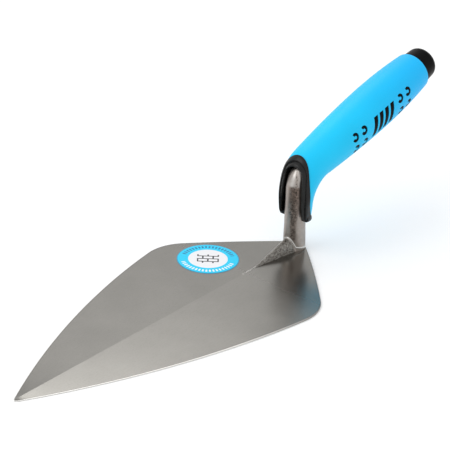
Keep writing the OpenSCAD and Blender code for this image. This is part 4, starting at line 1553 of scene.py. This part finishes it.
def label_film(label, colours, upright):
    """Printed film: a ring with short ticks round a pale centre, and a little wall of bricks."""
    finish, tree, shader, place = new_finish("label_film")
    centred = plant(tree, "ShaderNodeVectorMath", {
        0: place, 1: (-label.ahead, label.aside, 0),
    }, operation="ADD").outputs[0]
    laid = plant(tree, "ShaderNodeMapping", {"Vector": centred, "Rotation": (0, 0, -upright)}).outputs[0]
    x, y, _ = split(tree, laid)
    across = calc(tree, "SQRT", calc(tree, "ADD", calc(tree, "POWER", x, 2), calc(tree, "POWER", y, 2)))
    soft, halves_soft = 0.12 * MM, 0.1 * MM
    gap_end, ticks_start = 0.28, 0.3

    def within(value, width):
        return spread(tree, calc(tree, "ABSOLUTE", value), width / 2 - soft, width / 2 + soft, 1.0, 0.0)

    def both(a, b):
        return calc(tree, "MULTIPLY", a, b)

    centre = within(across, label.centre_d)
    turn = calc(tree, "ARCTAN2", y, x)
    band = within(calc(tree, "SUBTRACT", across, label.ticks_d / 2), label.tick_length)
    teeth = calc(tree, "SINE", calc(tree, "MULTIPLY", turn, label.tick_count))
    teeth = spread(tree, teeth, -0.15, 0.15)
    steep = calc(tree, "ABSOLUTE", calc(tree, "SINE", turn))
    ticks = both(both(band, teeth), spread(tree, steep, gap_end, ticks_start))
    upper = spread(tree, y, -halves_soft, halves_soft)
    bricks = plant(tree, "ShaderNodeTexBrick", {
        "Vector": laid, "Scale": 1.0, "Mortar Size": label.joint, "Mortar Smooth": 0.1,
        "Brick Width": label.brick_width, "Row Height": label.brick_height,
    })
    wall = both(within(x, label.wall_width), within(y, label.wall_height))
    lines = both(wall, bricks.outputs["Fac"])
    fibres = grain(tree, place, 500.0, 3.0, 0.6)
    low, high = opaque(colours.label_ring, 0.97), opaque(colours.label_ring, 1.03)
    ring = tint(tree, spread(tree, fibres, 0.3, 0.7), low, high)
    tick_colour = tint(tree, upper, opaque(colours.label_pale_tick), opaque(colours.label_tick))
    ring = tint(tree, ticks, ring, tick_colour)
    rim_start = label.diameter / 2 - label.rim_width
    rim = spread(tree, across, rim_start, rim_start + label.rim_width / 2, 0.0, 0.7)
    ring = tint(tree, rim, ring, opaque(colours.label_tick))
    printed = tint(tree, centre, ring, opaque(colours.label_centre))
    printed = tint(tree, lines, printed, opaque(colours.label_ink))
    feed(tree, shader, "Base Color", printed)
    feed(tree, shader, "Roughness", spread(tree, fibres, 0.3, 0.7, 0.30, 0.38))
    shader.inputs["Specular IOR Level"].default_value = 0.2
    raise_grain(tree, shader, fibres, 0.006 * MM, 0.4)
    return finish


# Stage


def camera_axes(stage):
    """Right, up and back of the camera."""
    a, e, r = stage.azimuth, stage.elevation, stage.roll
    back = Vector((math.sin(a) * math.cos(e), -math.cos(a) * math.cos(e), math.sin(e)))
    level = Vector((math.cos(a), math.sin(a), 0))
    upright = back.cross(level)
    right = math.cos(r) * level + math.sin(r) * upright
    up = math.cos(r) * upright - math.sin(r) * level
    return right, up, back


def place_camera(stage):
    right, up, back = camera_axes(stage)
    camera = bpy.data.cameras.new("photo_camera")
    camera.sensor_fit = "HORIZONTAL"
    camera.angle = stage.field
    camera.clip_end = 20
    holder = bpy.data.objects.new("photo_camera", camera)
    turn = Matrix((right, up, back)).transposed().to_4x4()
    holder.matrix_world = Matrix.Translation(Vector(stage.target) + back * stage.distance) @ turn
    bpy.context.scene.collection.objects.link(holder)
    bpy.context.scene.camera = holder


def place_lamp(name, spot, aim, width, height, watts):
    """A soft lamp that looks at a point."""
    lamp = bpy.data.lights.new(name, "AREA")
    lamp.shape = "RECTANGLE"
    lamp.size = width
    lamp.size_y = height
    lamp.energy = watts
    holder = bpy.data.objects.new(name, lamp)
    way = (aim - spot).to_track_quat("-Z", "Y")
    holder.matrix_world = Matrix.Translation(spot) @ way.to_matrix().to_4x4()
    bpy.context.scene.collection.objects.link(holder)


def place_lamps(stage):
    """A wide key lamp over the camera's left, and a lamp behind whose mirror image lights the blade."""
    right, _, back = camera_axes(stage)
    aim = Vector(stage.target)
    nearer = Vector((back.x, back.y, 0)).normalized()
    key_near, key_left, key_height, key_size = 0.5, 1.0, 1.3, 1.2
    key_spot = aim + nearer * key_near - right * key_left + Vector((0, 0, key_height))
    place_lamp("key_lamp", key_spot, aim, key_size, key_size, stage.key)
    middle, back_distance, back_width, back_height = Vector((0.1, 0, 0)), 1.5, 0.44, 0.8
    turn, level = stage.back_turn, math.cos(stage.back_elevation)
    way = Vector((level * math.cos(turn), level * math.sin(turn), math.sin(stage.back_elevation)))
    place_lamp("back_lamp", middle + way * back_distance, middle, back_width, back_height, stage.back)


def seen_rays(tree):
    """1 for rays from the camera and for mirrored or clear rays, which see the plain white room."""
    path = plant(tree, "ShaderNodeLightPath").outputs
    seen = calc(tree, "MAXIMUM", path["Is Camera Ray"], path["Is Glossy Ray"])
    return calc(tree, "MAXIMUM", seen, path["Is Transmission Ray"])


def light_room(stage):
    """White to look at, and an even soft light on the trowel."""
    world = bpy.data.worlds.new("white_room")
    world.use_nodes = True
    tree = world.node_tree
    tree.nodes.clear()
    light = plant(tree, "ShaderNodeBackground", {"Color": WHITE, "Strength": stage.ambient})
    white = plant(tree, "ShaderNodeBackground", {"Color": WHITE, "Strength": 1.0})
    mix = plant(tree, "ShaderNodeMixShader", {0: seen_rays(tree), 1: light.outputs[0], 2: white.outputs[0]})
    plant(tree, "ShaderNodeOutputWorld", {0: mix.outputs[0]})
    bpy.context.scene.world = world


def lay_floor(stage):
    """A pale floor just under the blade, which fades to white away from the trowel."""
    reach, level = 6.0, -0.2 * MM
    fade_from, fade_to = 0.4, 1.1
    ways = ((-1, -1), (1, -1), (1, 1), (-1, 1))
    corners = [(reach * x, reach * y, level) for x, y in ways]
    mesh = bpy.data.meshes.new("floor")
    mesh.from_pydata(corners, [], [(0, 1, 2, 3)])
    floor = new_object("floor", mesh)
    finish, tree, shader, place = new_finish("pale_floor")
    low, high = opaque((stage.floor,) * 3, 0.995), opaque((stage.floor,) * 3, 1.005)
    pale = tint(tree, grain(tree, place, 3.0), low, high)
    feed(tree, shader, "Base Color", pale)
    shader.inputs["Roughness"].default_value = 0.9
    shader.inputs["Specular IOR Level"].default_value = 0.0
    lift = calc(tree, "MULTIPLY", seen_rays(tree), stage.floor_lift)
    glow = plant(tree, "ShaderNodeEmission", {"Color": WHITE, "Strength": lift})
    near = plant(tree, "ShaderNodeAddShader", {0: shader.outputs[0], 1: glow.outputs[0]})
    far = plant(tree, "ShaderNodeEmission", {"Color": WHITE, "Strength": 1.0})
    away = plant(tree, "ShaderNodeVectorMath", {0: place}, operation="LENGTH").outputs["Value"]
    share = plant(tree, "ShaderNodeMapRange", {
        "Value": away, "From Min": fade_from, "From Max": fade_to,
    }, interpolation_type="SMOOTHSTEP").outputs[0]
    whole = plant(tree, "ShaderNodeMixShader", {0: share, 1: near.outputs[0], 2: far.outputs[0]})
    feed(tree, tree.nodes["Material Output"], "Surface", whole.outputs[0])
    mesh.materials.append(finish)


# Operators


class TROWEL_OT_blade(bpy.types.Operator):
    """Makes the ground blade"""

    bl_idname = "trowel.blade"
    bl_label = "Blade"

    def execute(self, context):
        s = settings()
        dress(make_blade(s.blade), ground_steel(s.colours), "ground_steel", "blade")
        return {"FINISHED"}


class TROWEL_OT_shank(bpy.types.Operator):
    """Makes the forged shank"""

    bl_idname = "trowel.shank"
    bl_label = "Shank"

    def execute(self, context):
        s = settings()
        dress(make_shank(s.shank, BladeShape(s.blade)), forged_steel(s.colours), "forged_steel", "shank")
        return {"FINISHED"}


class TROWEL_OT_core(bpy.types.Operator):
    """Gives the hidden core its finish"""

    bl_idname = "trowel.core"
    bl_label = "Core"

    def execute(self, context):
        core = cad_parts["handle_core"]
        core.data.materials.clear()
        core.data.materials.append(moulded_black("core_black", settings().colours, 0.55, 0.3))
        return {"FINISHED"}


class TROWEL_OT_sleeve(bpy.types.Operator):
    """Makes the soft sleeve of the grip"""

    bl_idname = "trowel.sleeve"
    bl_label = "Sleeve"

    def execute(self, context):
        s = settings()
        dress(make_sleeve(s, grip_shape(s)), soft_blue(s.colours), "grip_blue", "grip_sleeve")
        return {"FINISHED"}


class TROWEL_OT_collar(bpy.types.Operator):
    """Makes the collar round the arch of the nose"""

    bl_idname = "trowel.collar"
    bl_label = "Nose collar"

    def execute(self, context):
        s = settings()
        finish = moulded_black("collar_black", s.colours, 0.26, 0.3, 0.6)
        dress(make_collar(s, grip_shape(s)), finish, "trim_black", "nose_collar")
        return {"FINISHED"}


class TROWEL_OT_cap(bpy.types.Operator):
    """Makes the end cap"""

    bl_idname = "trowel.cap"
    bl_label = "End cap"

    def execute(self, context):
        s = settings()
        cap = make_cap(s.cap, BarAxis(s.shank), s.grip.barrel_end)
        dress(cap, moulded_black("cap_black", s.colours, 0.3, 0.05, 0.3), "trim_black", "end_cap")
        return {"FINISHED"}


class TROWEL_OT_inlays(bpy.types.Operator):
    """Makes the rings and the slanted bars on both sides of the grip"""

    bl_idname = "trowel.inlays"
    bl_label = "Inlays"

    def execute(self, context):
        s = settings()
        shape = grip_shape(s)
        finish = moulded_black("inlay_black", s.colours, 0.4, 0.04, 0.4)
        places = {"front": s.inlays.front_rings_at, "rear": s.inlays.rear_rings_at}
        for hand, side in (("left", LEFT), ("right", RIGHT)):
            for where, first in places.items():
                rings = ring_group(s.inlays, shape, first, side, 0)
                rings.name = f"rings_{where}_{hand}"
                dress(rings, finish, "inlay_black", f"ring_inlays_{where}_{hand}")
            bars = bar_row(s.inlays, shape, side, 0)
            bars.name = f"bars_{hand}"
            dress(bars, finish, "inlay_black", f"bar_inlays_{hand}")
        return {"FINISHED"}


class TROWEL_OT_label(bpy.types.Operator):
    """Makes the round label on the blade"""

    bl_idname = "trowel.label"
    bl_label = "Label"

    def execute(self, context):
        s = settings()
        film = make_label(s.label, BladeShape(s.blade))
        dress(film, label_film(s.label, s.colours, s.stage.azimuth), "label_film", "label")
        return {"FINISHED"}


class TROWEL_OT_stage(bpy.types.Operator):
    """Sets the floor, the light and the camera"""

    bl_idname = "trowel.stage"
    bl_label = "Stage"

    def execute(self, context):
        stage = settings().stage
        place_camera(stage)
        place_lamps(stage)
        light_room(stage)
        lay_floor(stage)
        context.scene.view_settings.view_transform = "Standard"
        return {"FINISHED"}


class TROWEL_PT_sidebar(bpy.types.Panel):
    """Lists the trowel's pieces"""

    bl_idname = "TROWEL_PT_sidebar"
    bl_label = "Brick Trowel"
    bl_space_type = "VIEW_3D"
    bl_region_type = "UI"
    bl_category = "Trowel"

    def draw(self, context):
        for maker in MAKERS:
            self.layout.operator(maker.bl_idname)


MAKERS = (
    TROWEL_OT_stage, TROWEL_OT_blade, TROWEL_OT_shank, TROWEL_OT_core, TROWEL_OT_sleeve,
    TROWEL_OT_collar, TROWEL_OT_cap, TROWEL_OT_inlays, TROWEL_OT_label,
)
CLASSES = (
    BladeSizes, ShankSizes, GripSizes, CollarSizes, CapSizes, InlaySizes, LabelSizes,
    TrowelColours, StageSettings, TrowelSettings,
) + MAKERS + (TROWEL_PT_sidebar,)


def register():
    for kind in CLASSES:
        bpy.utils.register_class(kind)
    bpy.types.Scene.trowel = bpy.props.PointerProperty(type=TrowelSettings)


def unregister():
    del bpy.types.Scene.trowel
    for kind in reversed(CLASSES):
        bpy.utils.unregister_class(kind)


def main():
    register()
    bpy.ops.trowel.stage()
    bpy.ops.trowel.blade()
    bpy.ops.trowel.shank()
    bpy.ops.trowel.core()
    bpy.ops.trowel.sleeve()
    bpy.ops.trowel.collar()
    bpy.ops.trowel.cap()
    bpy.ops.trowel.inlays()
    bpy.ops.trowel.label()


if __name__ == "__main__":
    main()
